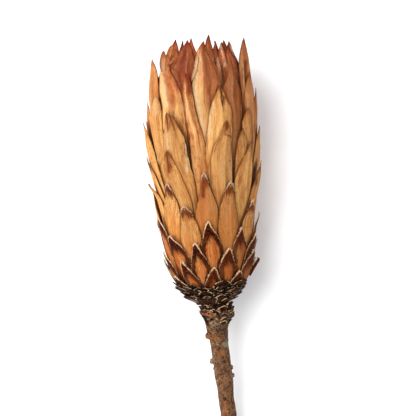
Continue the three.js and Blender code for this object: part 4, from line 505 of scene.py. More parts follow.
        root = (outer[i0, j0] * (1 - fv) * (1 - fu) + outer[i0 + 1, j0] * fv * (1 - fu) + outer[i0, j0 + 1] * (1 - fv) * fu + outer[i0 + 1, j0 + 1] * fv * fu)
        aa = a[i0, j0]
        nrm = np.stack([np.sin(np.radians(aa)), 0 * aa, np.cos(np.radians(aa))], 1)
        way = np.tile([-0.05, 1.0, 0.05], (m, 1)) + nrm * rng.uniform(0.05, 0.4, (m, 1)) + rng.normal(0, 0.25, (m, 3))
        gr = rng.uniform(0, 10, (m, 3))
        hairs(P, root, way, rng.uniform(0.4, 1.0, m), 0.07, 2, np.stack([ui, ti, 0 * ti], 1), gr, [1, 0, 0], rng)
    return outer


def ribbon(P, pts, width, lift, tone=1.0, dark=0.3, curl=0.0, inset=0.0):
    """A torn strip or curled margin, laid over the piece's own surface through plan points (mm), lift mm above it."""
    v = np.concatenate(P.v)
    n = 15
    s = np.linspace(0, 1, len(pts)); q = np.linspace(0, 1, n)
    x, y = (np.interp(q, s, [p[k] for p in pts]) for k in (0, 1))
    x = np.convolve(np.r_[x[0], x[0], x, x[-1], x[-1]], np.ones(5) / 5, "valid"); y = np.convolve(np.r_[y[0], y[0], y, y[-1], y[-1]], np.ones(5) / 5, "valid")
    z = np.empty(n)
    for i in range(n):
        d = np.hypot(v[:, 0] - x[i], v[:, 1] - y[i]); near = d < max(0.9, d.min() + 0.4)
        z[i] = v[near, 2].max()
    z = np.convolve(np.r_[z[0], z[0], z, z[-1], z[-1]], np.ones(5) / 5, "valid") + np.interp(q, np.linspace(0, 1, len(lift)), lift)
    c = np.stack([x, y, z], 1)
    d = np.gradient(c, axis=0); d /= np.linalg.norm(d, axis=1, keepdims=True)
    side = np.cross(d, [0, 0, 1.0]); side /= np.linalg.norm(side, axis=1, keepdims=True)
    up = np.cross(side, d)
    nu = 6; u = np.linspace(-1, 1, nu + 1)
    w = width * np.sin(np.clip(q * 0.92 + 0.08, 0, 1) * math.pi) ** 0.6 * 0.5 + 0.05
    out = c[:, None] + side[:, None] * (u[None, :, None] * w[:, None, None]) + up[:, None] * (curl * (u ** 2)[None, :, None] * (w / max(w.max(), 1e-6))[:, None, None])
    inn = out - up[:, None] * 0.16
    T = np.broadcast_to((1 - q)[:, None] * 4, (n, nu + 1)); U = np.broadcast_to(u[None], (n, nu + 1)); E = (1 - np.abs(U)) * w[:, None] + inset
    sp = np.stack([U, T + 1, E], -1).reshape(-1, 3); g = np.stack([U * w[:, None], q[:, None] * 8 + 0 * U, 0 * U + x[0] * 3.1], -1).reshape(-1, 3)
    P.add(np.concatenate([out.reshape(-1, 3), inn.reshape(-1, 3)]), grid_shell(nu, n - 1), 0, np.concatenate([sp, sp]), np.concatenate([g, g]), [tone, 0.85, dark])


def crevices(pieces):
    """Painted shade: how deep each vertex lies in the shade beside or under the bracts that cover it, 0 to 1."""
    every = [(P, s) for P in pieces for s in P.shells]
    for P in pieces:
        P.crev = np.zeros(P.n)
        for s in P.shells:
            h, a, r = s["h"], s["a"], s["r"]
            free = np.ones(len(h))
            for Q, o in every:
                if o is s or o["d"] >= s["d"] - 0.3 or o["tip"] < h.min():
                    continue
                gap = abs((o["mid"] - s["mid"] + 180) % 360 - 180)
                if gap > 75:
                    continue
                hh = np.clip(h, o["foot"], o["tip"])
                l, q = o["left"](hh), o["right"](hh)
                mid, half = (l + q) / 2, (q - l) / 2
                k = math.pi / 180 * r
                off = (np.mod(a - mid + 180, 360) - 180) * k
                l2, q2 = o["left"](np.clip(hh - 1, o["foot"], o["tip"])), o["right"](np.clip(hh - 1, o["foot"], o["tip"]))
                slope = ((q2 - l2) - (q - l)) / 2 * k
                out = np.maximum(np.abs(off) - half * k, 0) / np.sqrt(1 + slope ** 2)
                dist = np.hypot(out, np.maximum(h - o["tip"], 0) * 1.2)
                reach = 0.28 + s["reach"] + 0.10 * min(s["d"] - o["d"], 5)
                free *= 1 - 0.78 * np.exp(-(dist / reach) ** 1.3)
            c = (1 - free) * s["deep"]
            P.crev[s["start"]:s["start"] + s["count"]] = c
            # the underside faces get at least half the painted shade
            P.crev[s["start"] + s["count"]:s["start"] + 2 * s["count"]] = np.maximum(c, 0.5)


def tube(P, pts, radii, n, mat, bumps=None, rng=None, cap=True, spot=None, grain=None, trait=(1, 0, 0)):
    """Closed rod through pts; bumps(i, angle) adds to the radius."""
    pts = np.asarray(pts, float); m = len(pts)
    d = np.gradient(pts, axis=0); d /= np.linalg.norm(d, axis=1, keepdims=True)
    side = np.cross(-d, [0, 0, 1.0]); side /= np.linalg.norm(side, axis=1, keepdims=True)
    up = np.cross(side, -d)
    ang = np.arange(n) / n * 2 * math.pi - math.pi
    R = np.asarray(radii)[:, None] * np.ones(n)
    if bumps is not None:
        R = R + bumps
    v = pts[:, None] + R[..., None] * (side[:, None] * np.sin(ang)[None, :, None] + up[:, None] * np.cos(ang)[None, :, None])
    i, j = np.meshgrid(np.arange(m - 1), np.arange(n), indexing="ij")
    a = (i * n + j).ravel(); b = (i * n + (j + 1) % n).ravel()
    quads = np.stack([a, a + n, b + n, b], 1)
    N = m * n
    tri = []
    if cap:
        v = np.concatenate([v.reshape(-1, 3), pts[:1], pts[-1:]])
        j = np.arange(n); k = (j + 1) % n
        tri = [np.stack([j, k, np.full(n, N)], 1), np.stack([(m - 1) * n + k, (m - 1) * n + j, np.full(n, N + 1)], 1)]
    return v, [quads] + tri, ang


# ---------------------------------------------------------------- materials
def srgb(r, g, b, depth=1.12):
    """A screen colour as linear light; depth above 1 makes the dark tones richer."""
    f = lambda c: c / 12.92 if c <= 0.04045 else ((c + 0.055) / 1.055) ** 2.4
    return (*(f((q / 255) ** depth) for q in (r, g, b)), 1)


EXPO = 0.69      # the white floor is lit past white, as in the photograph, so the finishes are this much darker


class Mat:
    """A node material, written as sums of named fields."""
    def __init__(self, name):
        self.m = bpy.data.materials.new(name); self.m.use_nodes = True
        self.t = self.m.node_tree; self.t.nodes.clear()
        self.out = self.t.nodes.new("ShaderNodeOutputMaterial")
        self.bsdf = self.t.nodes.new("ShaderNodeBsdfPrincipled")
        self.t.links.new(self.bsdf.outputs[0], self.out.inputs[0])
    def put(self, socket, value):
        if isinstance(value, bpy.types.NodeSocket):
            self.t.links.new(value, socket)
        elif value is not None:
            socket.default_value = value
    def attr(self, name):
        a = self.t.nodes.new("ShaderNodeAttribute"); a.attribute_name = name
        s = self.t.nodes.new("ShaderNodeSeparateXYZ"); self.put(s.inputs[0], a.outputs["Vector"])
        return s.outputs[0], s.outputs[1], s.outputs[2]
    def math(self, op, a, b=None, c=None, clamp=False):
        n = self.t.nodes.new("ShaderNodeMath"); n.operation = op; n.use_clamp = clamp
        self.put(n.inputs[0], a); self.put(n.inputs[1], b); self.put(n.inputs[2], c)
        return n.outputs[0]
    def add(self, a, b): return self.math("ADD", a, b)
    def mul(self, a, b): return self.math("MULTIPLY", a, b)
    def sub(self, a, b): return self.math("SUBTRACT", a, b)
    def step(self, x, lo, hi, a=0.0, b=1.0):
        n = self.t.nodes.new("ShaderNodeMapRange"); n.interpolation_type = "SMOOTHSTEP"
        self.put(n.inputs["Value"], x)
        if not isinstance(lo, bpy.types.NodeSocket) and not isinstance(hi, bpy.types.NodeSocket) and lo > hi:
            lo, hi, a, b = hi, lo, b, a
        self.put(n.inputs["From Min"], lo); self.put(n.inputs["From Max"], hi)
        self.put(n.inputs["To Min"], a); self.put(n.inputs["To Max"], b)
        return n.outputs[0]
    def vec(self, x, y, z):
        n = self.t.nodes.new("ShaderNodeCombineXYZ")
        for i, v in enumerate((x, y, z)):
            self.put(n.inputs[i], v)
        return n.outputs[0]
    def noise(self, vec, scale=1.0, detail=2.0, rough=0.5, warp=0.0):
        n = self.t.nodes.new("ShaderNodeTexNoise"); n.noise_dimensions = "3D"
        self.put(n.inputs["Vector"], vec)
        for k, v in (("Scale", scale), ("Detail", detail), ("Roughness", rough), ("Distortion", warp)):
            n.inputs[k].default_value = v
        return n.outputs[0]
    def cells(self, vec, scale, feature="F1"):
        n = self.t.nodes.new("ShaderNodeTexVoronoi"); n.feature = feature
        self.put(n.inputs["Vector"], vec); n.inputs["Scale"].default_value = scale
        return n.outputs["Distance"]
    def mix(self, f, a, b, way="MIX"):
        n = self.t.nodes.new("ShaderNodeMix"); n.data_type = "RGBA"; n.blend_type = way
        self.put(n.inputs[0], f); self.put(n.inputs[6], a); self.put(n.inputs[7], b)
        return n.outputs[2]
    def scale(self, colour, k):
        n = self.t.nodes.new("ShaderNodeVectorMath"); n.operation = "SCALE"
        self.put(n.inputs[0], colour); self.put(n.inputs["Scale"], k)
        return n.outputs[0]
    def where(self):
        g = self.t.nodes.new("ShaderNodeTexCoord")
        return g.outputs["Object"]
    def done(self, colour, rough, height, strength, distance, spec=0.35, normal_extra=None):
        self.put(self.bsdf.inputs["Base Color"], colour)
        self.put(self.bsdf.inputs["Roughness"], rough)
        self.bsdf.inputs["Specular IOR Level"].default_value = spec
        b = self.t.nodes.new("ShaderNodeBump")
        b.inputs["Strength"].default_value = strength; b.inputs["Distance"].default_value = distance
        self.put(b.inputs["Height"], height)
        self.put(self.bsdf.inputs["Normal"], b.outputs[0])
        return self.m


# gap is the colour of the painted shade under covering bracts
def bract_material(name, light, mid, deep, margin, tip, pink, margin_w, margin_t, tip_t, tip_k, shade_t, rim_t, spec=0.03, rim_w=0.3, edge_k=0.50, base=None, warmth=0.5, gap=(100, 46, 20), rim_on=(0.20, 0.42), rim=(236, 212, 180), frayed=0.9):
    """Dry leathery bract: long fibres, darker margin and tip, pale worn rim; with painted shade where other bracts
    cover it and painted light on the ridges and hollows of its folds.
    """
    m = Mat(name)
    U, T, E = m.attr("spot"); W, H, S = m.attr("grain"); tone, rosy, dusk = m.attr("trait"); md, mp, mr = m.attr("mark")
    g = m.t.nodes.new("ShaderNodeAttribute"); g.attribute_name = "crevice"; crev = g.outputs["Fac"]
    tc, tp, tb = m.attr("tint")
    g = m.t.nodes.new("ShaderNodeAttribute"); g.attribute_name = "fold"; fold = g.outputs["Fac"]
    wobble = m.noise(m.vec(m.mul(W, 0.25), m.mul(H, 0.12), S), 1, 2)
    Wd = m.add(W, m.mul(m.sub(wobble, 0.5), 1.4))
    broad = m.noise(m.vec(m.mul(Wd, 0.85), m.mul(H, 0.045), S), 1, 3, 0.55)
    fine = m.noise(m.vec(m.mul(Wd, 2.6), m.mul(H, 0.12), m.add(S, 3.3)), 1, 3, 0.62)
    fibre = m.noise(m.vec(m.mul(Wd, 7.5), m.mul(H, 0.36), m.add(S, 7.7)), 1, 2, 0.6)
    cloud = m.noise(m.vec(m.mul(W, 0.24), m.mul(H, 0.13), m.add(S, 11.1)), 1, 3, 0.6)
    fleck = m.noise(m.vec(m.mul(W, 2.0), m.mul(H, 1.3), m.add(S, 5.9)), 1, 4, 0.65)
    mottle = m.noise(m.vec(m.mul(W, 0.9), m.mul(H, 0.6), m.add(S, 15.3)), 1, 3, 0.6)
    c = m.mix(m.step(m.add(m.mul(broad, 0.6), m.mul(fine, 0.4)), 0.38, 0.60), light, mid)
    c = m.mix(m.mul(m.step(cloud, 0.50, 0.70), 0.60), c, deep)
    c = m.mix(m.mul(m.step(fine, 0.58, 0.70), 0.30), c, deep)
    c = m.mix(m.mul(m.step(fine, 0.45, 0.35), 0.40), c, m.mix(0.30, light, srgb(255, 232, 190)))
    warm = m.noise(m.vec(m.mul(W, 0.34), m.mul(H, 0.085), m.add(S, 31.7)), 1, 3, 0.55)
    c = m.mix(m.mul(m.step(warm, 0.50, 0.66), m.mul(tone, warmth)), c, m.mix(0.5, light, srgb(252, 214, 146)))
    c = m.mix(m.mul(m.step(warm, 0.46, 0.30), 0.40), c, m.mix(0.4, deep, pink))
    middle = m.step(m.math("ABSOLUTE", U), 0.95, 0.25)
    rose = m.math("MULTIPLY", m.mul(rosy, middle), m.mul(m.step(T, 30.0, 9.0), m.step(cloud, 0.25, 0.6, 0.6, 1.0)), clamp=True)
    c = m.mix(rose, c, pink)
    c = m.mix(m.mul(m.step(T, shade_t * 0.5, shade_t), 0.45), c, deep)
    if base:      # warmer towards the foot
        c = m.mix(m.mul(m.step(m.add(T, m.mul(m.sub(broad, 0.5), 8.0)), 7.0, 19.0), 0.62), c, base)
    # darker band along the margins near the tip
    reach = m.mul(m.step(T, margin_t, margin_t * 0.6), dusk)
    wide = m.mul(m.mul(m.add(0.55, m.mul(mottle, 0.9)), margin_w), m.step(T, 3.0, 13.0, 1.0, 0.78))
    band = m.mul(m.step(m.sub(E, m.mul(m.sub(fine, 0.5), frayed * margin_w)), wide, m.mul(wide, 0.62)), reach)
    c = m.mix(band, c, m.mix(m.step(mottle, 0.35, 0.65), margin, tip))
    # dusky tip with long fingers running down the fibres
    tl = m.add(T, m.add(m.mul(m.sub(fine, 0.5), min(tip_t * 2.2, 9.0)), m.mul(m.sub(broad, 0.5), min(tip_t * 1.6, 6.0))))
    top = m.mul(m.step(tl, tip_t, tip_t * 0.55), m.math("MULTIPLY", dusk, tip_k, clamp=True))
    c = m.mix(top, c, m.mix(m.step(mottle, 0.35, 0.75), tip, margin))
    soft = m.step(m.add(m.mul(broad, 0.5), m.mul(mottle, 0.5)), 0.32, 0.62, 0.55, 1.0)
    c = m.mix(m.math("MULTIPLY", m.mul(tc, 0.68), soft, clamp=True), c, srgb(252, 207, 134))
    c = m.mix(m.math("MULTIPLY", m.mul(tp, 0.72), m.step(m.add(m.mul(cloud, 0.5), m.mul(broad, 0.5)), 0.36, 0.62, 1.0, 0.45), clamp=True), c, srgb(223, 130, 88))
    c = m.mix(m.math("MULTIPLY", tb, soft, clamp=True), c, srgb(142, 70, 40))
    c = m.mix(m.math("MULTIPLY", md, m.step(fine, 0.25, 0.6, 0.65, 1.0), clamp=True), c, margin)
    c = m.mix(m.math("MULTIPLY", mr, m.step(fine, 0.25, 0.6, 0.6, 1.0), clamp=True), c, srgb(128, 50, 28))
    c = m.mix(m.math("MULTIPLY", mp, m.step(fibre, 0.3, 0.6, 0.7, 1.0), clamp=True), c, srgb(240, 212, 168))
    # painted highlight on the ridges of the folds, painted shade in their hollows
    c = m.mix(m.math("MULTIPLY", m.step(fold, 0.15, 1.1), m.step(mottle, 0.35, 0.6, 0.35, 0.75), clamp=True), c, m.mix(0.45, light, srgb(255, 226, 186)))
    c = m.mix(m.math("MULTIPLY", m.step(fold, -0.15, -1.1), m.step(mottle, 0.35, 0.6, 0.30, 0.62), clamp=True), c, deep)
    # thin brown line at the edge, specks
    c = m.mix(m.mul(m.mul(m.step(m.add(E, m.mul(m.sub(fleck, 0.5), 0.4)), 0.34, 0.14), edge_k), m.step(mottle, 0.36, 0.60, 0.25, 1.0)), c, m.mix(0.5, deep, margin))
    c = m.mix(m.mul(m.step(fleck, 0.63, 0.71), 0.60), c, m.mix(0.5, deep, margin))
    c = m.mix(m.mul(m.step(mottle, 0.58, 0.70), 0.50), c, deep)
    scorch = m.mul(m.step(m.add(E, m.mul(m.sub(cloud, 0.5), 5.0)), 1.3, 0.2), m.step(broad, 0.40, 0.60))
    c = m.mix(m.mul(scorch, 0.36), c, m.mix(0.35, deep, margin))
    spotted = m.mul(m.mul(m.step(fleck, 0.52, 0.60), m.step(m.add(T, m.mul(m.sub(cloud, 0.5), 14.0)), 15.0, 3.0)), m.mul(dusk, 0.8))
    c = m.mix(spotted, c, m.mix(0.25, deep, margin))
    # painted shade where another bract lies over it, mixed towards the gap colour and broken up by noise
    crev = m.mul(crev, m.step(m.add(m.mul(fleck, 0.5), m.mul(cloud, 0.5)), 0.36, 0.62, 0.55, 1.0))
    c = m.mix(m.mul(crev, 0.54), c, srgb(*gap))
    rim_e = m.add(m.add(E, m.mul(m.sub(mottle, 0.5), 0.7)), m.step(T, 1.5, 7.5, 0.0, 0.34))
    rim_f = m.mul(m.step(rim_e, rim_w, rim_w * 0.4), m.step(T, rim_t, rim_t * 0.6))
    worn = m.step(m.noise(m.vec(m.mul(W, 0.8), m.mul(H, 0.8), m.add(S, 21.0)), 1, 2), *rim_on)
    c = m.mix(m.mul(m.mul(rim_f, 0.85), worn), c, srgb(*rim))
    c = m.mix(m.math("MULTIPLY", m.sub(1.0, tone), 2.2, clamp=True), c, deep)
    k = m.mul(m.add(0.5, m.mul(tone, 0.5)), m.add(m.step(fibre, 0.25, 0.75, 0.84, 1.12), m.step(fleck, 0.2, 0.8, -0.06, 0.06)))
    # the painted shade also darkens the whole colour where the bract is covered
    k = m.mul(k, m.step(crev, 0.0, 1.0, EXPO, EXPO * 0.58))
    c = m.scale(c, k)
    rough = m.step(m.add(m.mul(fine, 0.6), m.mul(fleck, 0.4)), 0.3, 0.7, 0.56, 0.80)
    height = m.add(m.add(m.mul(fine, 0.6), m.mul(fibre, 0.30)), m.mul(fleck, 0.22))
    return m.done(c, rough, height, 0.7, 0.0004, spec)


def make_materials():
    M = {}
    M["low"] = bract_material("protea_bract_low", srgb(216, 142, 76), srgb(188, 108, 50), srgb(140, 70, 30), srgb(34, 3, 1), srgb(52, 8, 2),
        srgb(180, 96, 46), 2.6, 60.0, 8.2, 1.6, 26.0, 30.0, 0.03, 0.46, gap=(40, 10, 3), rim=(252, 208, 166), rim_on=(0.30, 0.50), frayed=0.3)
    M["mid"] = bract_material("protea_bract_mid", srgb(240, 186, 118), srgb(210, 146, 84), srgb(160, 96, 46), srgb(78, 32, 15), srgb(118, 52, 24),
        srgb(204, 130, 76), 0.42, 22.0, 5.2, 1.35, 34.0, 3.0, 0.03, 0.2, base=srgb(214, 136, 66))
    M["long"] = bract_material("protea_bract_long", srgb(242, 188, 118), srgb(214, 150, 86), srgb(164, 100, 50), srgb(108, 50, 26), srgb(130, 58, 30),
        srgb(196, 120, 74), 0.30, 30.0, 3.2, 0.9, 46.0, 0.5, 0.03, 0.2, rim_on=(0.92, 0.99))
    M["tall"] = bract_material("protea_bract_tall", srgb(238, 176, 108), srgb(207, 135, 78), srgb(156, 90, 52), srgb(114, 54, 32), srgb(130, 58, 36),
        srgb(192, 108, 70), 0.30, 40.0, 2.8, 0.8, 60.0, 0.5, 0.03, 0.2, rim_on=(0.92, 0.99))
    M["crown"] = bract_material("protea_bract_crown", srgb(222, 142, 90), srgb(190, 104, 62), srgb(138, 62, 36), srgb(92, 34, 22), srgb(116, 46, 28),
        srgb(142, 58, 40), 0.5, 30.0, 3.0, 0.9, 44.0, 0.5, 0.03, 0.2, rim_on=(0.92, 0.99))
    M["scale"] = bract_material("protea_base_scale", srgb(74, 40, 22), srgb(30, 15, 9), srgb(8, 4, 3), srgb(7, 4, 2), srgb(18, 9, 5),
        srgb(184, 104, 52), 0.8, 12.0, 1.0, 0.8, 8.0, 12.0, 0.03, 0.74, rim_on=(0.45, 0.56), rim=(246, 208, 168), warmth=0.0, gap=(6, 3, 2))
    # silky hairs of the fringe
    m = Mat("protea_hair")
    U, T, E = m.attr("spot"); W, H, S = m.attr("grain"); tone, b, d = m.attr("trait")
    n = m.noise(m.vec(W, H, S), 1.7, 2)
    c = m.mix(m.step(n, 0.35, 0.62), srgb(252, 222, 188), srgb(226, 184, 142))
    c = m.mix(m.step(tone, 0.95, 0.35), c, srgb(120, 70, 38))
    g = m.noise(m.where(), 900, 2)
    c = m.scale(c, m.step(n, 0.2, 0.8, 0.80, 0.88))
    M["hair"] = m.done(c, m.step(n, 0.3, 0.7, 0.5, 0.7), g, 0.2, 0.0001, 0.3)
    # florets
    m = Mat("protea_floret")
    U, T, E = m.attr("spot"); W, H, S = m.attr("grain"); tone, x1, x2 = m.attr("trait")
    n = m.noise(m.vec(m.mul(W, 2.5), m.mul(H, 0.2), S), 1, 3)
    k = m.noise(m.vec(S, m.mul(S, 0.37), 1.0), 1.3, 1)
    c = m.mix(m.step(m.add(m.mul(n, 0.5), m.mul(k, 0.5)), 0.38, 0.62), srgb(214, 170, 120), srgb(160, 104, 62))
    c = m.mix(m.step(T, 0.62, 0.95), c, srgb(104, 52, 30))
    c = m.mix(m.step(T, 0.35, 0.0, 0.0, 0.6), c, srgb(120, 72, 42))
    c = m.scale(c, m.mul(EXPO, m.mul(tone, m.step(n, 0.2, 0.8, 0.85, 1.1))))
    M["floret"] = m.done(c, m.step(n, 0.3, 0.7, 0.6, 0.8), n, 0.5, 0.0003, 0.1)
    # receptacle
    m = Mat("protea_receptacle")
    p = m.where()
    n = m.noise(p, 420, 4); k = m.cells(p, 600)
    c = m.mix(m.step(n, 0.35, 0.65), srgb(140, 96, 62), srgb(86, 56, 36))
    M["receptacle"] = m.done(c, m.step(n, 0.3, 0.7, 0.7, 0.9), m.add(n, m.mul(k, 0.5)), 0.6, 0.0004, 0.25)
    # stem bark
    m = Mat("protea_bark")
    A, H, S = m.attr("grain"); tone, green, orange = m.attr("trait"); md, mp, mr = m.attr("mark")
    vecs = m.vec(m.mul(A, 0.6), m.mul(H, 0.34), 2.0)
    cloud = m.noise(vecs, 1, 4, 0.6)
    streak = m.noise(m.vec(m.mul(A, 2.6), m.mul(H, 1.1), 5.0), 1, 4, 0.7)
    spots = m.noise(m.vec(m.mul(A, 1.7), m.mul(H, 1.5), 9.0), 1, 4, 0.65)
    grit = m.noise(m.vec(m.mul(A, 2.6), m.mul(H, 2.2), 13.0), 1, 3, 0.7)
    pits = m.cells(m.vec(m.mul(A, 2.0), m.mul(H, 1.5), 4.0), 1.0)
    c = m.mix(m.step(cloud, 0.40, 0.60), srgb(150, 106, 72), srgb(94, 56, 38))
    c = m.mix(m.mul(m.step(streak, 0.53, 0.64), 0.60), c, srgb(80, 48, 28))
    c = m.mix(m.mul(m.step(spots, 0.57, 0.67), 0.42), c, srgb(146, 90, 58))
    c = m.mix(m.mul(m.step(streak, 0.46, 0.34), 0.42), c, srgb(188, 148, 108))
    c = m.mix(m.mul(m.step(grit, 0.52, 0.62), 0.46), c, srgb(190, 154, 118))
    c = m.mix(m.mul(m.step(grit, 0.46, 0.38), 0.50), c, srgb(58, 32, 20))
    c = m.mix(m.mul(m.step(spots, 0.40, 0.30), 0.6), c, srgb(146, 134, 116))
    c = m.mix(m.mul(green, m.step(grit, 0.42, 0.6, 1.0, 0.35)), c, m.mix(m.step(spots, 0.4, 0.6), srgb(92, 76, 42), srgb(34, 22, 8)))
    c = m.mix(m.mul(m.step(pits, 0.16, 0.05), 0.7), c, srgb(48, 26, 14))
    c = m.mix(m.math("MULTIPLY", mr, m.step(m.add(m.mul(spots, 0.5), m.mul(grit, 0.5)), 0.38, 0.60), clamp=True), c, srgb(200, 122, 64))
    c = m.mix(m.math("MULTIPLY", md, m.step(streak, 0.2, 0.6, 0.7, 1.0), clamp=True), c, srgb(52, 32, 22))
    c = m.mix(m.math("MULTIPLY", mp, m.step(streak, 0.2, 0.6, 0.7, 1.0), clamp=True), c, srgb(164, 150, 132))
    c = m.scale(c, m.mul(tone, m.step(m.noise(m.vec(m.mul(A, 7.0), m.mul(H, 3.0), 1.0), 1, 3, 0.6), 0.25, 0.75, 0.44, 0.84)))
    hgt = m.add(m.add(m.mul(streak, 0.5), m.mul(grit, 0.45)), m.mul(m.step(pits, 0.0, 0.25), 0.3))
    M["bark"] = m.done(c, m.step(streak, 0.3, 0.7, 0.62, 0.86), hgt, 0.8, 0.0006, 0.1)
    # cut end of the stem
    m = Mat("protea_cut_wood")
    A, H, S = m.attr("grain")
    ring = m.math("SINE", m.mul(S, 9.0)); ray = m.noise(m.vec(m.mul(A, 3.0), m.mul(S, 0.3), 1.0), 1.5, 3)
    c = m.mix(m.step(m.add(m.mul(ring, 0.25), ray), 0.3, 0.8), srgb(196, 160, 116), srgb(158, 118, 80))
    c = m.mix(m.step(S, 0.55, 0.35), c, srgb(120, 82, 54))
    M["cut"] = m.done(c, m.step(ray, 0.3, 0.7, 0.7, 0.88), ray, 0.5, 0.0003, 0.2)
    # floor
    m = Mat("floor_paper")
    n = m.noise(m.where(), 90, 3)
    c = m.mix(m.step(n, 0.3, 0.7), srgb(246, 246, 247, 1.0), srgb(243, 243, 245, 1.0))
    M["floor"] = m.done(c, m.step(n, 0.3, 0.7, 0.85, 0.95), n, 0.02, 0.0001, 0.1)
    return M


def at(px, py):
    """Plan position in mm of a point of the photograph's frame."""
    return (3.4 + (px - 212) * 0.38, -9.09 - (py - 297) * 0.38)


# Streaks and scars: channel (0 dark, 1 cream, 2 red), points, half width in mm, strength
MARKS = {
    "crown_whorl_outer": [(0, [(228.4, 47), (233, 55), (237.7, 63.6), (242.8, 82.8)], 0.42, 1.0), (1, [(230.6, 47), (235.2, 55), (239.8, 63), (243.6, 74)], 0.32, 0.9),
                          (0, [(222.6, 44), (225, 52), (227, 62)], 0.3, 0.8), (1, [(220.5, 46), (222.5, 54), (225, 66)], 0.3, 0.7), (0, [(216.5, 48), (218.5, 58), (221.5, 68), (223, 82)], 0.35, 0.9), (1, [(214.6, 47), (216.8, 58), (220, 68)], 0.3, 0.7),
                          (0, [(183, 50), (186, 58), (187.5, 68)], 0.5, 0.6), (2, [(177, 50), (181, 60), (183, 74)], 0.6, 0.8)],
    "crown_whorl_inner": [(0, [(228.4, 47), (233, 55), (237.7, 63.6), (242.8, 82.8)], 0.42, 1.0), (1, [(219, 46), (221, 54), (223, 62)], 0.3, 0.7), (0, [(216.5, 46), (218.5, 58)], 0.35, 0.8)],
    "bract_tall_front_2": [(0, [(231.5, 60), (234.5, 70), (238, 80), (240.5, 92), (241, 104)], 0.40, 0.9), (1, [(228.5, 62), (226.5, 72), (224.5, 84)], 0.45, 0.7), (2, [(230.5, 66), (232, 80), (233, 96)], 0.5, 0.5)],
    "bract_tall_front_3": [(2, [(203.5, 48), (205.5, 68), (208, 92)], 1.0, 0.5), (2, [(209, 62), (215, 92)], 2.0, 0.2), (0, [(203, 44), (205, 50)], 0.7, 0.8), (1, [(198, 58), (194, 84), (198, 112), (204, 140)], 1.1, 0.75)],
    "bract_tall_left_4": [(1, [(163, 60), (163, 82), (167, 106)], 0.8, 0.6), (2, [(172, 62), (174, 82)], 2.0, 0.15), (0, [(166, 54), (173, 62)], 0.5, 0.5)],
    "bract_tall_front_1": [(2, [(186, 75), (189.5, 84), (190, 92)], 1.1, 1.0), (0, [(189, 80), (191, 86)], 0.5, 0.7)],
    "bract_long_front_3": [(0, [(219.5, 86), (221.5, 92), (221, 99), (222.5, 106)], 0.42, 1.1), (0, [(221, 94), (223.5, 97), (222.5, 102)], 0.45, 0.8), (2, [(225, 97), (224, 103)], 0.5, 0.6), (2, [(223, 108), (223, 111)], 0.4, 0.5), (1, [(212, 104), (208, 135)], 0.9, 0.4)],
    "bract_long_front_2": [(0, [(166, 112), (167, 119), (168, 129)], 0.36, 1.1), (0, [(169, 115), (172, 122), (174.5, 130)], 0.30, 1.0), (0, [(170, 114), (175, 119), (179, 128)], 0.26, 0.8), (2, [(171, 120), (168, 131)], 0.5, 0.6), (1, [(185.5, 143), (187, 172)], 0.45, 1.0), (1, [(166, 136), (168, 150)], 0.8, 0.5)],
    "bract_mid_front_5": [(0, [(166.5, 150), (167.5, 160), (169, 172)], 0.45, 1.05), (0, [(168, 163), (171, 167)], 0.5, 0.8), (2, [(170, 160), (171, 170)], 0.6, 0.5)],
    "bract_long_front_1": [(0, [(227, 122.5), (226.6, 129)], 0.5, 1.0), (2, [(227, 126), (225, 131)], 0.7, 0.6), (0, [(224.5, 133.5), (231, 137)], 0.26, 1.1), (1, [(232, 140), (232, 185)], 0.4, 0.7), (0, [(222, 132), (214, 152)], 0.3, 0.5)],
    "bract_tall_right_4": [(2, [(246, 62), (243, 78)], 0.9, 0.9)],
    "bract_mid_front_4": [(2, [(204, 172), (203, 196)], 0.85, 1.0), (0, [(202, 173), (206, 175)], 0.8, 0.5), (2, [(206, 180), (207, 186)], 0.5, 0.5)],
    "bract_long_left_3": [(1, [(153, 88), (156, 112)], 1.0, 0.3)],
    "bract_mid_right_4": [(0, [(256, 168), (256, 184)], 0.6, 0.7)],
}

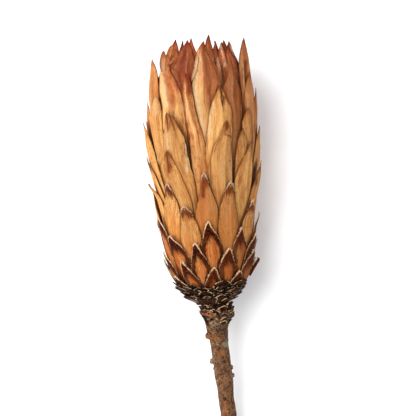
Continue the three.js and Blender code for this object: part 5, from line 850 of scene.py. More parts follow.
STYLE = {
    "bract_mid_front_1": dict(tone=0.92, dark=1.0, pink=0.25, fuzz=50, fuzz_reach=2.0),
    "bract_mid_front_2": dict(tone=0.88, dark=0.95, pink=0.1, fuzz=50, fuzz_reach=2.0),
    "bract_mid_front_3": dict(tone=1.02, dark=1.0, pink=0.15, fuzz=50, fuzz_reach=2.0),
    "bract_mid_front_4": dict(tone=0.87, dark=0.8, pink=0.6, fuzz=50, fuzz_reach=2.0),
    "bract_mid_front_5": dict(mat="long", fringe=0, tone=0.87, dark=0.7, pink=0.15, fuzz=0),
    "bract_mid_front_6": dict(mat="long", fringe=0, tone=0.83, dark=0.7, pink=0.15, fuzz=0),
    "bract_mid_left_2": dict(mat="long", fringe=0, tone=1.02, dark=0.35, pink=0.1, fuzz=0, flare=-0.9),
    "bract_mid_left_3": dict(mat="long", fringe=0, tone=1.16, dark=0.4, pink=0.1, fuzz=0, flare=1.9),
    "bract_mid_right_4": dict(tone=0.94, dark=0.9, flare=-0.6),
    # painted light: these left-hand bracts are made paler, as the light falls from the left
    "bract_mid_left_5": dict(tone=1.24),
    "bract_long_left_1": dict(tone=1.22),
    "bract_long_left_2": dict(tone=1.20),
    "bract_tall_left_1": dict(tone=1.14),
    "bract_mid_right_1": dict(tone=0.94, dark=1.0, fuzz=50, fuzz_reach=2.0),
    "bract_mid_right_5": dict(mat="long", fringe=0, tone=0.97, dark=0.7, fuzz=0),
    "bract_long_front_1": dict(tone=0.88, dark=0.7, pink=0.3, tent_at=0.2),
    "bract_long_front_2": dict(tone=0.88, dark=0.5, pink=0.1, tent_at=-0.1, curl_r=(0.5, 10, 24, 1.1)),
    "bract_long_front_3": dict(tone=1.0, dark=0.5, pink=0.1, tent_at=0.0),
    "bract_long_left_3": dict(tone=0.96, dark=0.2, pink=0.15),
    "bract_tall_front_1": dict(tone=1.10, dark=1.0, pink=0.1, tent_at=-0.2),
    "bract_tall_front_2": dict(tone=0.73, dark=0.8, pink=0.4),
    "bract_tall_front_3": dict(tone=0.94, dark=0.9, pink=0.35, tent_at=-0.25, tent=2.1, curl_l=(0.7, 4, 17, 1.5), ragged=0.16),
    "bract_tall_left_3": dict(tone=0.97, dark=0.6, pink=0.5),
    "bract_tall_left_4": dict(tone=1.12, dark=0.5, pink=0.5, tent_at=-0.35, tent=1.9, curl_l=(0.6, 1, 8, 1.2), ragged=0.16),
    "bract_tall_right_4": dict(tone=0.85, dark=0.9, pink=0.7),
    "bract_tall_right_3": dict(tone=0.9, dark=0.8, pink=0.6),
}

# per tooth of the two crown whorls: pink and tone
CROWN = {("crown_whorl_outer", 0): (1.0, 0.84), ("crown_whorl_outer", 1): (0.6, 1.05), ("crown_whorl_outer", 2): (0.3, 1.0), ("crown_whorl_outer", 3): (0.35, 1.15),
         ("crown_whorl_outer", 4): (0.3, 1.12), ("crown_whorl_inner", 0): (0.9, 1.12), ("crown_whorl_inner", 1): (0.3, 1.1), ("crown_whorl_inner", 2): (0.4, 1.05)}

PALE = {"low": (0.3, 1.0), "mid": (0.15, 0.9), "long": (0.15, 0.55), "tall": (0.4, 0.65), "crown": (0.6, 0.8), "scale": (0.2, 0.6)}


# Broad soft colour fields: channel (0 cream, 1 rose, 2 brown), corners, softness mm, strength
FIELDS = {
    "bract_tall_left_4": [(1, [(161, 55), (170, 60), (178, 73), (181, 92), (177, 99), (170, 93), (166, 84), (161, 70)], 1.6, 0.85), (0, [(157, 72), (162, 72), (165, 88), (167, 112), (166, 140), (156, 140)], 0.8, 0.75),
                          (0, [(168, 104), (178, 106), (181, 125), (176, 140), (168, 130)], 2.0, 0.45), (2, [(173, 64), (180, 76), (182, 92), (179, 92)], 1.2, 0.35)],
    "bract_tall_front_3": [(0, [(190, 82), (203, 74), (206, 98), (211, 113), (207, 138), (199, 138), (193, 104)], 1.0, 0.5), (1, [(197, 48), (203, 44), (204, 78), (196, 86), (193, 66)], 2.0, 0.75),
                           (1, [(203, 42), (211, 55), (218, 70), (222, 90), (216, 108), (211, 111), (206, 96), (203.5, 76)], 0.8, 0.8), (2, [(208, 60), (218, 74), (222, 92), (216, 108), (212, 108), (211, 84)], 2.0, 0.12),
                           # painted highlight: the pale strip along the left margin
                           (0, [(200, 46), (197, 58), (195, 66), (190, 82), (188, 78), (193, 60)], 0.8, 0.6)],
    "bract_tall_front_1": [(1, [(184, 72), (188, 74), (192, 86), (190, 96), (184, 98)], 1.0, 0.8), (2, [(186, 74), (191, 82), (191, 92), (188, 90)], 0.7, 0.8), (0, [(187, 108), (192, 112), (194, 132), (189, 130)], 1.2, 0.35), (2, [(189, 136), (196, 132), (203, 150), (205, 184), (195, 184)], 1.6, 0.46)],
    "bract_long_front_3": [(0, [(214, 108), (219, 98), (228, 108), (230, 135), (222, 150), (212, 145)], 1.8, 0.45), (1, [(224, 92), (231, 106), (232, 120), (228, 116)], 1.0, 0.5)],
    "bract_long_front_1": [(0, [(221, 142), (226, 132), (229, 142), (230, 175), (222, 195), (214, 185)], 1.6, 0.4), (2, [(224, 124), (228, 124), (229, 136), (225, 136)], 1.0, 0.22)],
    "bract_long_front_2": [(0, [(164, 132), (168, 130), (176, 150), (182, 175), (172, 168)], 1.5, 0.25), (2, [(165, 111), (169, 112), (175, 124), (171, 130), (166, 126)], 1.2, 0.28)],
    "bract_mid_front_5": [(0, [(172, 172), (178, 178), (186, 204), (178, 206)], 1.5, 0.5), (2, [(165, 150), (169, 152), (171, 168), (167, 172)], 1.2, 0.35)],
    "bract_mid_front_4": [(1, [(200, 178), (205, 176), (210, 200), (206, 225), (197, 225)], 2.0, 0.55), (2, [(201, 172), (205, 172), (206, 186), (202, 196)], 0.8, 0.7)],
    "bract_mid_front_2": [(1, [(224, 196), (234, 196), (237, 212), (228, 226), (222, 216)], 1.6, 0.5)],
    "bract_mid_front_1": [(0, [(166, 200), (173, 200), (178, 222), (170, 228), (165, 216)], 1.5, 0.4)],
    "bract_mid_front_6": [(0, [(238, 155), (244, 150), (249, 175), (243, 190)], 1.5, 0.4)],
    "bract_tall_front_2": [(1, [(226, 62), (233, 66), (238, 90), (232, 110), (224, 90)], 1.5, 0.5), (0, [(227, 60), (231, 62), (229, 74), (225, 78)], 0.8, 0.4)],
    "bract_tall_right_4": [(2, [(244, 62), (250, 70), (248, 92), (243, 84)], 1.0, 0.6), (1, [(241, 42), (247, 50), (246, 62), (240, 62)], 1.0, 0.4)],
    "bract_tall_left_3": [(1, [(147, 60), (155, 60), (156, 82), (147, 82)], 1.5, 0.4)],
    "bract_long_left_3": [(0, [(149, 84), (156, 84), (158, 110), (150, 112)], 1.5, 0.2), (2, [(147, 82), (156, 84), (156, 87), (147, 86)], 0.6, 0.4)],
    "bract_long_left_1": [(0, [(150, 130), (157, 135), (158, 170), (152, 165)], 1.5, 0.4)],
    # the small pale field at the end of this line is a painted highlight in the hollow of tooth 0's right wing
    "crown_whorl_outer": [(1, [(172, 44), (184, 44), (187, 40), (192, 40), (198, 56), (196, 74), (180, 84), (170, 72)], 1.0, 0.5), (2, [(182, 46), (187, 50), (187, 66), (181, 76), (178, 62)], 1.6, 0.5), (1, [(188.5, 48), (193, 48), (196, 60), (195, 73), (189, 70)], 1.0, 0.9), (0, [(191, 56), (196, 58), (195, 72), (190, 72)], 1.0, 0.35),
                          (1, [(212, 40), (232, 40), (240, 70), (236, 90), (214, 70)], 1.0, 0.45)],
    "crown_whorl_inner": [(1, [(186, 40), (196, 40), (198, 70), (184, 70)], 1.0, 0.7), (2, [(207, 34), (212, 40), (214, 58), (209, 56)], 0.8, 0.6), (1, [(212, 40), (232, 40), (240, 70), (214, 70)], 1.0, 0.4)],
}

# torn strips and curled margins: points, width, lift above the surface, tone, curl
RIBBONS = {
    "bract_tall_left_4": [([(163.5, 74), (163, 64), (164.3, 51)], 2.4, (-0.2, 0.1, 0.3), 0.92, 0.2), ([(167, 68), (168.5, 58), (171, 50), (173, 46.5)], 1.7, (0.1, 0.6, 0.9, 0.7), 1.0, 0.4),
                          ([(169, 66), (173, 61), (176, 58)], 1.2, (0.3, 0.7, 0.5), 0.95, 0.35), ([(171, 66), (176, 74), (181, 84)], 0.6, (0.1, 0.3, 0.0), 1.05, 0.3)],
    "bract_tall_front_3": [([(198, 56), (196.5, 64), (194.5, 74), (191.5, 84)], 1.2, (-0.1, 0.1, 0.2, 0.2), 1.15, 0.4),
                           ([(212, 62), (217, 72), (221, 86)], 0.5, (0.1, 0.3), 0.8, 0.25)],
    "bract_long_front_2": [([(185, 143), (185.6, 150), (186.5, 159)], 0.8, (0.05, 0.3, 0.05), 0.92, 0.62)],
    "bract_whorl_second": [([(249, 277), (253, 269), (256.5, 262), (259.5, 258.5), (256.5, 257.5)], 1.1, (0.2, 0.4, 0.9, 1.2, 1.5), 0.9, 0.3)],
}


def field(x, y, poly, soft):
    """1 inside the polygon, 0 outside, with a soft border (mm)."""
    inside = np.zeros(len(x), bool); best = np.full(len(x), 1e9)
    for (x0, y0), (x1, y1) in zip(poly, poly[1:] + poly[:1]):
        cross = (y0 > y) != (y1 > y)
        inside ^= cross & (x < (x1 - x0) * (y - y0) / ((y1 - y0) or 1e-9) + x0)
        dx, dy = x1 - x0, y1 - y0
        k = np.clip(((x - x0) * dx + (y - y0) * dy) / (dx * dx + dy * dy), 0, 1)
        best = np.minimum(best, np.hypot(x - x0 - k * dx, y - y0 - k * dy))
    return smooth(-soft, soft, np.where(inside, best, -best) * 0.38)


def paint(P, name):
    """Adds the piece's torn strips, then its streaks and colour fields."""
    for pts, width, lift, tone, curl in RIBBONS.get(name, []):
        low = name.startswith("bract_whorl")
        ribbon(P, [at(*q) for q in pts], width, lift, tone, 1.0 if low else 0.3, curl, 0.75 if low else 0.0)
    v = np.concatenate(P.v)
    k = 1800.0 / (1820.0 - v[:, 2])
    x = 208 + (v[:, 0] - 1.88) * k / 0.38; y = 208 - (v[:, 1] - 24.73) * k / 0.38
    wob = Wave(np.random.default_rng(len(v)), 0.05, 0.03)(x, y)
    mark, tint = np.zeros((len(v), 3)), np.zeros((len(v), 3))
    for ch, pts, width, amount in MARKS.get(name, []):
        best = np.full(len(v), 1e9)
        for (x0, y0), (x1, y1) in zip(pts[:-1], pts[1:]):
            dx, dy = x1 - x0, y1 - y0
            k = np.clip(((x - x0) * dx + (y - y0) * dy) / (dx * dx + dy * dy), 0, 1)
            best = np.minimum(best, np.hypot(x - x0 - k * dx, y - y0 - k * dy) * 0.38)
        mark[:, ch] = np.maximum(mark[:, ch], min(amount * 1.25, 1.3) * np.exp(-(best / width) ** 2))
    for ch, poly, soft, amount in FIELDS.get(name, []):
        tint[:, ch] = np.maximum(tint[:, ch], amount * field(x + 1.2 * wob, y, poly, soft))
    P.att["mark"], P.att["tint"] = [mark], [tint]
    # the painted light of each shell's folds, on both its faces
    fold = np.zeros(len(v))
    for s in P.shells:
        fold[s["start"]:s["start"] + 2 * s["count"]] = np.tile(s["fold"], 2)
    P.fold = fold


def light_side_tone(a):
    """Painted light: darker and browner round the right, paler on the left, as the light falls from the left."""
    return 1.0 - 0.11 * math.sin(math.radians(a))


def main():
    M = make_materials()
    made = []
    seed = 100
    for name, d, kind, foot, tip, rows in BRACTS:
        seed += 7
        rng = np.random.default_rng(seed)
        P = Piece(name)
        pink, dark = PALE[kind]
        o = dict(tone=light_side_tone(tip[1]) * rng.uniform(0.95, 1.04), pink=pink * rng.uniform(0.6, 1.3), dark=dark * rng.uniform(0.75, 1.1),
                 keel_at=rng.uniform(-0.25, 0.25), fuzz=30 if kind == "mid" else 0, fuzz_reach=2.0)
        o.update(STYLE.get(name, {}))
        if name == "bract_tall_left_4":      # its right edge runs straight up to the point
            edge = {91.6: -44.5, 89.3: -41, 87: -38.8, 84.4: -35.5, 81.7: -30.6, 78.7: -26, 74.9: -22.6}
            rows = [[q[0], q[1], edge.get(q[0], q[2])] for q in rows]
        if name == "bract_tall_front_3":
            edge = {94.6: 8, 92.3: 10, 90.1: 12.5, 87.8: 15.5, 85.5: 19, 83.2: 21.5}
            rows = [[q[0], q[1], edge.get(q[0], q[2])] for q in rows]
        if name == "bract_tall_front_2":
            edge = {87.8: (35.3, 38.4), 85.5: (33.5, 40), 83.2: (31.5, 41.8), 80.6: (28.5, 44.4)}
            rows = [[q[0], *edge.get(q[0], (q[1], q[2]))] for q in rows]
        o["close"] = name in MARKS or name in FIELDS
        bract(P, kind, d, foot, tip, rows, seed, **o)
        paint(P, name)
        made.append((P, [M[o.get("mat", kind)], M["hair"]], "bract_" + kind))
    for name, d, kind, foot, teeth in WHORLS:
        P = Piece(name)
        for k, (tip, rows) in enumerate(teeth):
            seed += 7
            rng = np.random.default_rng(seed)
            pink, dark = PALE[kind]
            o = dict(tone=light_side_tone(tip[1]) * rng.uniform(0.93, 1.05), pink=pink * rng.uniform(0.5, 1.3), dark=dark * rng.uniform(0.8, 1.1), keel_at=rng.uniform(-0.3, 0.3))
            if (name, k) in CROWN:
                o["pink"], o["tone"] = CROWN[name, k]
            if (name, k) == ("crown_whorl_outer", 0):
                rows = [[95.8, -24, -15], [93.9, -29.5, -11.5], [91.6, -36, -8.5], [88.9, -41, -6.5], [85.5, -43, -6]]; o["tent"] = 1.2; o["flare"] = -1.6; o["tent_at"] = 0.35
            if (name, k) in CROWN and (name, k) not in (("crown_whorl_outer", 0), ("crown_whorl_outer", 1)):
                o["flare"] = -0.5
            if (name, k) == ("crown_whorl_outer", 3):
                rows = [[94.2, 35.5, 44.5], [92, 31.5, 47], [89.3, 27, 49.5], [86.3, 23, 50]]
            if (name, k) == ("crown_whorl_inner", 1):
                rows = [[94.2, 28, 37], [92, 24, 39], [89.3, 20, 41]]
            if (name, k) == ("crown_whorl_outer", 1):
                rows = [[96.1, -45, -36.5], [94.2, -51, -34], [92, -57, -31], [89.3, -61, -28], [85.5, -63, -28]]; o["flare"] = -1.6
            if (name, k) == ("crown_whorl_outer", 4):
                rows = [[94.6, 50.5, 61], [92.3, 46.5, 63.5], [90.1, 43, 67], [87.8, 41, 70], [85.1, 40, 71], [81.7, 40, 70]]
            if kind == "crown" and (name, k) not in CROWN and 48 < abs((tip[1] + 180) % 360 - 180) < 132:      # the flanks close in below the front ones
                f = (tip[0] - 8 - foot) / (tip[0] - foot)
                tip = [tip[0] - 8, tip[1]]; rows = [[foot + (q[0] - foot) * f, q[1], q[2]] for q in rows]
                o["flare"] = -4.0
            bract(P, kind, d + (0.06 if k % 2 else -0.06), foot, tip, rows, seed, **o)
        paint(P, name)
        made.append((P, [M[kind], M["hair"]], "bract_crown" if kind == "crown" else "bract_base"))
    # small scales round the foot of the head: ragged, dark, with worn pale rims
    for name, layer, foot, row, tiers in (("basal_scales_upper", -1, -0.2, SCALES_UPPER, ((0.0, 0.0, 0.2, 0.5), (0.45, 9.0, -0.9, 0.9), (0.85, 17.0, -2.0, 1.2))),
                                          ("basal_scales_lower", -2, -2.2, SCALES_LOWER, ((0.0, 0.0, 0.2, 1.0), (0.4, 9.0, -0.9, 1.3), (0.8, 15.0, -1.9, 1.5)))):
        P = Piece(name)
        row = sorted(row)
        for dd, turn, down, out in tiers:
            for k, (a, top) in enumerate(row):
                seed += 7
                rng = np.random.default_rng(seed)
                nxt = row[(k + 1) % len(row)][0] + (360 if k == len(row) - 1 else 0)
                half = (nxt - a) * rng.uniform(0.62, 0.98)
                a0 = a + turn + rng.uniform(-4, 4); t0 = top + down + rng.uniform(-0.5, 0.5)
                b0 = foot - 0.6
                t0 = max(t0, b0 + 1.6)
                sk = rng.uniform(-0.25, 0.25)
                rows = [[b0 + (t0 - b0) * f, a0 + half * (sk * (1 - f) - g), a0 + half * (sk * (1 - f) + g)] for f, g in ((0.35, 1.0), (0.62, 0.93), (0.82, 0.76), (0.94, 0.46))]
                bract(P, "scale", layer - dd, b0, [t0, a0], rows, seed, tone=rng.uniform(0.8, 1.15), pink=rng.uniform(0, 0.25), dark=rng.uniform(0.7, 1.0), blunt=0.4, ragged=0.55, wave=0.6, flare=out * rng.uniform(0.6, 1.3))
        paint(P, name)
        made.append((P, [M["scale"], M["hair"]], "base_scales"))
    # paints the shade under covering bracts into every piece
    crevices([q[0] for q in made])
    for P, mats, slot in made:
        P.build(mats, [P.name], slot)
    # receptacle and florets, inside the head
    P = Piece("receptacle")
    lathe(P, RECEPTACLE, 72, 26, 0, lambda h, a: 0.12 * np.sin(9 * np.radians(a) + h) )
    P.att["mark"] = P.att["tint"] = [np.zeros((P.n, 3))]
    P.build([M["receptacle"]], ["receptacle"], "receptacle")
    P = Piece("floret_head")
    lathe(P, [[q, w * 0.93] for q, w in FLORETS], 120, 48, 0, lambda h, a: 0.3 * np.abs(np.sin(20 * np.radians(a) + 0.02 * h)) - 0.5, 0.6)
    rng = np.random.default_rng(5)
    prof = pchip([p[0] for p in FLORETS], [p[1] for p in FLORETS])
    for k in range(560):      # stiff pointed styles packed round the dome, leaning in at the top
        q = k / 560
        h0 = min(46 + 43 * q ** 0.62 + rng.uniform(-0.8, 0.8), 88.8); a0 = k * 137.508 + rng.uniform(-5, 5)
        r0 = max(prof(h0) - 0.5, 0.2); L = rng.uniform(6, 11) * (1 - 0.25 * q)
        s = np.linspace(0, 1, 6); hh = h0 + L * s * (0.85 + 0.1 * q)
        hh = np.minimum(hh, 92.5 - rng.uniform(0, 2) + 0.01 * s)
        rr = np.maximum(r0 + 0.9 * np.sin(s * 2.4) - (0.02 * r0 + 0.25) * L * 0.28 * s ** 2, 0.15)
        aa = a0 + rng.uniform(-6, 6) * s ** 2
        spike(P, place(rr, hh, aa), rng.uniform(0.42, 0.62), k * 1.7, rng.uniform(0.85, 1.1))
    P.att["mark"] = P.att["tint"] = [np.zeros((P.n, 3))]
    P.build([M["floret"]], ["floret_head"], "florets")
    stem(M)
    stage(M)


def spike(P, pts, width, seed, tone):
    """A pointed five-sided style through pts, swollen towards its tip."""
    m, n = len(pts), 5
    d = np.gradient(pts, axis=0); d /= np.linalg.norm(d, axis=1, keepdims=True).clip(1e-9)
    side = np.cross(d, [0.31, 0.12, 0.94]); side /= np.linalg.norm(side, axis=1, keepdims=True).clip(1e-9)
    up = np.cross(d, side)
    s = np.linspace(0, 1, m)
    w = width * np.interp(s, [0, 0.55, 0.75, 0.9, 1], [0.75, 0.6, 1.0, 0.75, 0.06])
    ang = np.arange(n) / n * 2 * math.pi
    v = pts[:, None] + w[:, None, None] * (side[:, None] * np.cos(ang)[None, :, None] + up[:, None] * np.sin(ang)[None, :, None])
    i, j = np.meshgrid(np.arange(m - 1), np.arange(n), indexing="ij")
    a = (i * n + j).ravel(); b = (i * n + (j + 1) % n).ravel()
    N = m * n; j = np.arange(n); k = (j + 1) % n
    faces = [np.stack([a, a + n, b + n, b], 1), np.stack([j, k, np.full(n, N)], 1), np.stack([(m - 1) * n + k, (m - 1) * n + j, np.full(n, N + 1)], 1)]
    v = np.concatenate([v.reshape(-1, 3), pts[:1] - d[:1] * 0.05, pts[-1:] + d[-1:] * 0.1])
    T = np.append(np.repeat(s, n), [0, 1])
    sp = np.stack([0 * T, T, 0 * T], 1)
    g = np.stack([np.append(np.tile(ang, m), [0, 0]), T * 8, 0 * T + seed], 1)
    P.add(v, faces, 0, sp, g, [tone, 0, 0])


def lathe(P, profile, n, m, mat, bump, tone=0.0):
    prof = pchip([p[0] for p in profile], [p[1] for p in profile])
    h = np.linspace(profile[0][0], profile[-1][0], m + 1)[:, None] + np.zeros(n)
    a = np.arange(n)[None, :] * 360 / n + 0 * h
    r0 = prof(h)
    r = (r0 + bump(h, a) * smooth(0, 3, r0)).clip(0.03)
    v = place(r, h, a).reshape(-1, 3)
    i, j = np.meshgrid(np.arange(m), np.arange(n), indexing="ij")
    q = (i * n + j).ravel(); b = (i * n + (j + 1) % n).ravel()
    lo, hi = place(0.0, h[0, 0], 0.0), place(0.0, h[-1, 0], 0.0)
    N = len(v); j = np.arange(n); k = (j + 1) % n
    faces = [np.stack([q, b, b + n, q + n], 1), np.stack([k, j, np.full(n, N)], 1), np.stack([m * n + j, m * n + k, np.full(n, N + 1)], 1)]
    v = np.concatenate([v, [lo], [hi]])
    g = np.stack([np.append((a / 5).ravel(), [0, 0]), np.append(h.ravel(), [h[0, 0], h[-1, 0]]), np.zeros(N + 2)], 1)
    P.add(v, faces, mat, [0, 0.1, 0], g, [tone or 1, 0, 0])


# ---------------------------------------------------------------- stem
STUBS = [[-5.5,-60,0.9,2.2,22],[-6.4,-15,0.7,2.0,18],[-6.0,30,0.9,2.0,20],[-7.0,78,0.9,2.2,20],[-7.5,150,0.8,2.4,24],[-14.2,-72,1.0,2.0,22],
  [-18,40,0.5,2.2,24],[-21.3,12,0.5,2.6,26],[-24,-78,1.2,2.0,22],[-26.9,-60,0.7,1.4,18],[-27.2,82,0.9,1.6,20],[-30.2,72,0.7,1.5,20],
  [-38.8,-12,0.7,2.4,24],[-43,-15,0.4,2.4,24],[-51,100,0.8,2.0,22],[-58,-40,0.7,2.2,22],[-67,60,0.7,2.2,22]]
# colour patches on the bark: channel (0 dark, 1 grey, 2 orange), y before the shift, angle, half length mm, half width mm, strength
PATCHES = [(2, -14.2, -56, 1.4, 1.3, 0.85), (0, -13.0, -62, 0.6, 0.9, 1.1), (0, -15.6, -40, 0.5, 0.9, 0.7), (0, -12.0, 20, 0.7, 1.6, 0.8), (0, -17.2, 30, 0.5, 1.0, 0.9), (0, -19.4, 34, 0.5, 1.0, 0.8), (2, -5.9, -32, 0.75, 1.3, 0.95), (2, -5.4, 60, 0.7, 1.0, 0.9), (2, -8.0, -8, 0.45, 0.9, 0.8), (2, -7.2, -66, 0.5, 0.9, 0.8), (0, -7.0, -30, 0.35, 1.3, 0.9), (0, -4.8, -34, 0.3, 1.2, 0.8), (0, -6.5, 58, 0.4, 1.0, 0.9), (1, -9.6, -20, 0.8, 1.6, 0.6), (1, -10.4, -70, 0.8, 1.2, 0.5), (1, -18, 40, 1.2, 1.2, 0.9), (2, -21.3, 10, 0.9, 1.1, 0.9),
  (0, -24.3, 12, 0.7, 0.9, 1.0), (1, -24, -72, 1.2, 1.0, 0.9), (1, -27.0, -55, 0.8, 0.7, 0.7), (0, -27.0, 82, 1.0, 0.9, 0.5), (1, -30.2, 76, 1.0, 0.9, 0.6),
  (0, -38.0, -10, 0.6, 0.8, 1.0), (2, -39.8, -10, 0.9, 1.0, 0.95), (2, -43, -15, 1.4, 1.2, 0.65), (2, -51, 100, 1.4, 1.2, 0.6), (1, -58, -40, 1.2, 1.2, 0.8), (2, -67, 60, 1.4, 1.2, 0.6)]


def stem(M):
    P = Piece("stem")
    rng = np.random.default_rng(77)
    ys = [p[0] for p in STEM][::-1]
    fx, fz, fr = (pchip(ys, [p[k] for p in STEM][::-1]) for k in (1, 2, 3))
    m, n = 300, 72
    y = np.linspace(-3.0, -80.0, m + 1)
    a = np.arange(n)[None, :] * 360 / n - 180
    Y = y[:, None] + 0 * a; A = a + 0 * Y
    r = fr(Y)
    arc = np.radians(A) * 3.2
    def ring(x, y_, fx_, fy_, k):      # noise that closes round the stem
        rr = np.random.default_rng(k); tot = 0
        for _ in range(7):
            q = rr.integers(1, max(2, int(fx_)) + 1); f = rr.uniform(0.3, 1.3) * fy_
            tot = tot + np.sin(q * np.radians(x) + f * y_ + rr.uniform(0, 6.28))
        return tot / 2.6
    bump = 0.085 * ring(A, Y, 5, 0.55, 1) + 0.055 * ring(A, Y, 14, 1.6, 2) + 0.035 * ring(A, Y, 24, 0.7, 3)
    bump = bump + 0.10 * ring(A, Y, 2, 0.25, 4)
    wild = ring(A, Y, 8, 2.2, 5)
    for y0, a0, hgt, length, half in STUBS:
        dy = (Y - y0) / (length * 0.5); da = (np.mod(A - a0 + 180, 360) - 180) / half
        q = dy * dy + da * da
        lip = np.exp(-((np.sqrt(q) - 0.75) / 0.35) ** 2) * 0.8 + np.exp(-q * 1.6) * 0.45
        bump = bump + hgt * lip * (1 + 0.25 * wild) * (dy < 2.5)
    bump = bump * smooth(-2.6, -4.2, Y)
    bump[-1] *= 0.4
    pts = np.stack([fx(y), y, fz(y)], 1) + SHIFT
    v, faces, ang = tube(P, pts, fr(y), n, 0, bump)
    # the cut end: rings down to a small pith, with its own material
    N = m * n
    faces = faces[:2]
    v = v[:-1]
    order = [(0.93, 0.25), (0.80, 0.30), (0.60, 0.30), (0.40, 0.28), (0.20, 0.18)]
    rim = v[N:N + n]; c = pts[-1]
    add, cut = [], []
    prev = N + np.arange(n)
    idx = N + n + 1
    for k, (s, out) in enumerate(order):
        w = rng.normal(0, 0.03, n)
        add.append(c + (rim - c) * s + np.array([0.134, -0.99, -0.03]) * (out + w)[:, None])
        cur = idx + np.arange(n); idx += n
        nx = np.roll(np.arange(n), -1)
        cut.append(np.stack([prev, cur, cur[nx], prev[nx]], 1))
        prev = cur
    add.append([c + np.array([0.134, -0.99, -0.03]) * 0.05])
    cut.append(np.stack([prev, np.full(n, idx), prev[np.roll(np.arange(n), -1)]], 1))
    vv = np.concatenate([v] + add)
    arcs = np.radians(A[0]) * 3.2
    rowsA = np.concatenate([np.tile(arcs, m + 1), [0], np.tile(arcs, len(order)), [0]])
    rowsY = np.concatenate([np.repeat(y, n), [-3], np.full(n * len(order), -80.0), [-80]])
    rad = np.concatenate([np.full((m + 1) * n, 2.9), [0], np.repeat([s * 2.9 for s, _ in order], n), [0]])
    green = smooth(-17, -8, rowsY) * 0.9
    # painted shade: darker round the right side of the stem, away from the light on the left; also darker over the last
    # few mm before the head
    tone = 1.0 - 0.08 * np.sin(rowsA / 3.2) - 0.1 * smooth(-8, -4, rowsY)
    g = np.stack([rowsA, rowsY, rad], 1)
    P.add(vv, faces, 0, [0, 0, 0], g, np.stack([tone, green, 0 * green], 1))
    P.f.append(np.concatenate([cut[0]])); P.m.append(np.full(len(cut[0]), 1))
    for q in cut[1:]:
        P.f.append(q); P.m.append(np.full(len(q), 1))
    # scaly leaf bases left on the neck
    def pl(r_, h_, a_):
        r_, h_, a_ = np.broadcast_arrays(np.asarray(r_, float), h_, a_)
        return np.stack([fx(h_) + r_ * np.sin(np.radians(a_)), h_, fz(h_) + r_ * np.cos(np.radians(a_))], -1) + SHIFT
    flakes = []
    for k in range(46):
        a0 = -170 + k * 137.5 + rng.uniform(-14, 14); y0 = -11.8 + 0.19 * k + rng.uniform(-0.5, 0.5)
        up = (y0 + 11.5) / 9.2
        flakes.append((y0, a0, rng.uniform(18, 30) + 8 * up, rng.uniform(1.6, 2.6) + 0.5 * up, rng.uniform(0.35, 0.9) + 0.4 * up, rng.choice([0.0, 0.0, 0.15])))
    for k in range(22):      # the bigger curled ones under the head
        a0 = -160 + k * 137.5 + rng.uniform(-12, 12); y0 = -9.6 + 0.24 * k + rng.uniform(-0.4, 0.4)
        flakes.append((y0, a0, rng.uniform(26, 40), rng.uniform(2.2, 3.2), rng.uniform(0.8, 1.4), rng.choice([0.0, 0.0, 0.2])))
    flakes += [(-7.2, -58, 22, 2.4, 0.9, 0.7), (-7.0, -22, 20, 2.2, 0.7, 0.6), (-6.6, 58, 20, 2.2, 0.9, 0.8), (-9.4, -8, 18, 1.6, 0.5, 0.6), (-15.4, -50, 20, 2.0, 0.7, 0.7), (-9.0, 150, 24, 2.4, 0.7, 0.7)]
    flakes += [(y0, a0, w, L, 0.3, 0.3) for y0, a0, w, L in ((-19.0, -20, 20, 2.0), (-23.2, 40, 16, 1.5), (-25.5, -90, 16, 1.6), (-33.0, -50, 14, 1.4), (-36.5, 60, 14, 1.5), (-47.0, -70, 15, 1.5), (-49.5, 25, 14, 1.4), (-62.0, -10, 15, 1.6), (-73.0, 30, 15, 1.5))]
    for y0, a0, w, L, lift, orange in flakes:
        flake(P, pl, fr, y0, a0, w, L, rng, lift, orange)
    tot = np.concatenate(P.v)
    mark = np.zeros((len(tot), 3))
    gall = np.concatenate(P.att["grain"])
    bark = np.arange(len(tot)) < len(vv)
    for ch, y0, a0, ly, la, amount in PATCHES:
        da = (np.mod(np.degrees(gall[:, 0] / 3.2) - a0 + 180, 360) - 180) * math.pi / 180 * 3.2
        rag = Wave(np.random.default_rng(int(abs(y0) * 10)), 0.45, 0.45)(gall[:, 0], gall[:, 1])
        q = (((gall[:, 1] - y0) / ly) ** 2 + (da / la) ** 2) * (1 + 0.7 * rag)
        mark[:, ch] = np.maximum(mark[:, ch], amount * np.exp(-np.maximum(q, 0) ** 1.5) * bark)
    P.att["mark"], P.att["tint"] = [mark], [0 * mark]
    P.build([M["bark"], M["cut"], M["scale"]], ["stem"], "stem_bark")


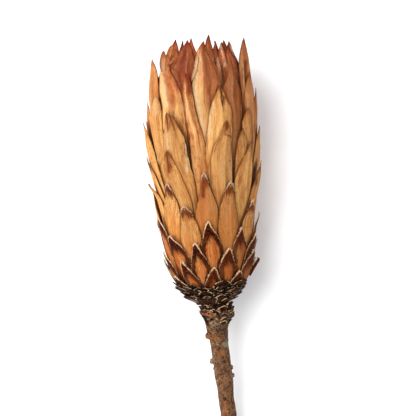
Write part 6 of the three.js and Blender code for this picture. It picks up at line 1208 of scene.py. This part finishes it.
def flake(P, pl, fr, y0, a0, w, L, rng, lift, orange):
    """A small dry scale lying up the stem with its tip standing off."""
    nu, nv = 10, 10
    s = np.linspace(0, 1, nv + 1)[:, None]; u = np.linspace(-1, 1, nu + 1)[None, :]
    half = w * (1 - 0.93 * s ** rng.uniform(1.6, 2.6)) * (1 + 0.09 * rng.normal(0, 1, (nv + 1, 1)))
    A = a0 + half * u + rng.uniform(-5, 5) * s ** 2; Y = y0 + L * s + 0 * u
    wav = rng.uniform(0, 6.28)
    r = fr(Y) + 0.05 + lift * s ** 1.8 + 0.18 * (1 - u * u) - 0.24 * (1 - s) + 0.16 * s * np.sin(2.6 * u + wav)
    th = 0.24 * (1 - 0.6 * s) + 0 * u
    o, i = pl(r, Y, A), pl(r - th - 0.25 * (1 - s), Y, A)
    mm = np.radians(half) * fr(Y)
    sp = np.stack([u + 0 * Y, (1 - s) * L + 0 * u, (1 - np.abs(u)) * mm], -1).reshape(-1, 3)
    g = np.stack([u * mm, Y, 0 * A + rng.uniform(0, 90)], -1).reshape(-1, 3)
    tr = np.stack([0 * Y + rng.uniform(0.85, 1.15), 0 * Y + orange * 1.6, 0 * Y + 0.8 * (1 - orange)], -1).reshape(-1, 3)
    P.add(np.concatenate([o.reshape(-1, 3), i.reshape(-1, 3)]), grid_shell(nu, nv), 2, np.concatenate([sp, sp]), np.concatenate([g, g]), np.concatenate([tr, tr]))


# ---------------------------------------------------------------- floor, light, camera
def stage(M):
    me = bpy.data.meshes.new("floor")
    s = 3.0
    me.from_pydata([(-s, -s, 0), (s, -s, 0), (s, s, 0), (-s, s, 0)], [], [(0, 1, 2, 3)])
    me.materials.append(M["floor"])
    floor = bpy.data.objects.new("floor", me)
    bpy.context.scene.collection.objects.link(floor)
    floor.location.z = -0.0001
    world = bpy.data.worlds.new("studio"); bpy.context.scene.world = world
    world.use_nodes = True
    bg = world.node_tree.nodes["Background"]
    bg.inputs[0].default_value = (1, 1, 1, 1); bg.inputs[1].default_value = 0.92
    def lamp(name, where, size, power, colour=(1, 1, 1)):
        l = bpy.data.lights.new(name, "AREA"); l.shape = "DISK"; l.size = size; l.energy = power; l.color = colour
        ob = bpy.data.objects.new(name, l); bpy.context.scene.collection.objects.link(ob)
        from mathutils import Vector
        ob.location = where
        ob.rotation_euler = (Vector((0, 0, 0.02)) - Vector(where)).to_track_quat("-Z", "Y").to_euler()
    lamp("key", (-0.48, 0.30, 1.08), 0.80, 13.8)
    lamp("side", (-0.95, 0.06, 0.34), 0.80, 3.6)
    cam = bpy.data.cameras.new("camera"); ob = bpy.data.objects.new("camera", cam)
    bpy.context.scene.collection.objects.link(ob)
    cam.type = "PERSP"; cam.sensor_width = 36.0; cam.lens = 409.9; cam.clip_start = 0.05; cam.clip_end = 20
    ob.location = (0.00188, 0.02473, 1.820); ob.rotation_euler = (0, 0, 0)
    bpy.context.scene.camera = ob
    sc = bpy.context.scene
    sc.view_settings.view_transform = "Standard"; sc.view_settings.look = "None"
    sc.view_settings.exposure = 0.0; sc.view_settings.gamma = 1.0


main()
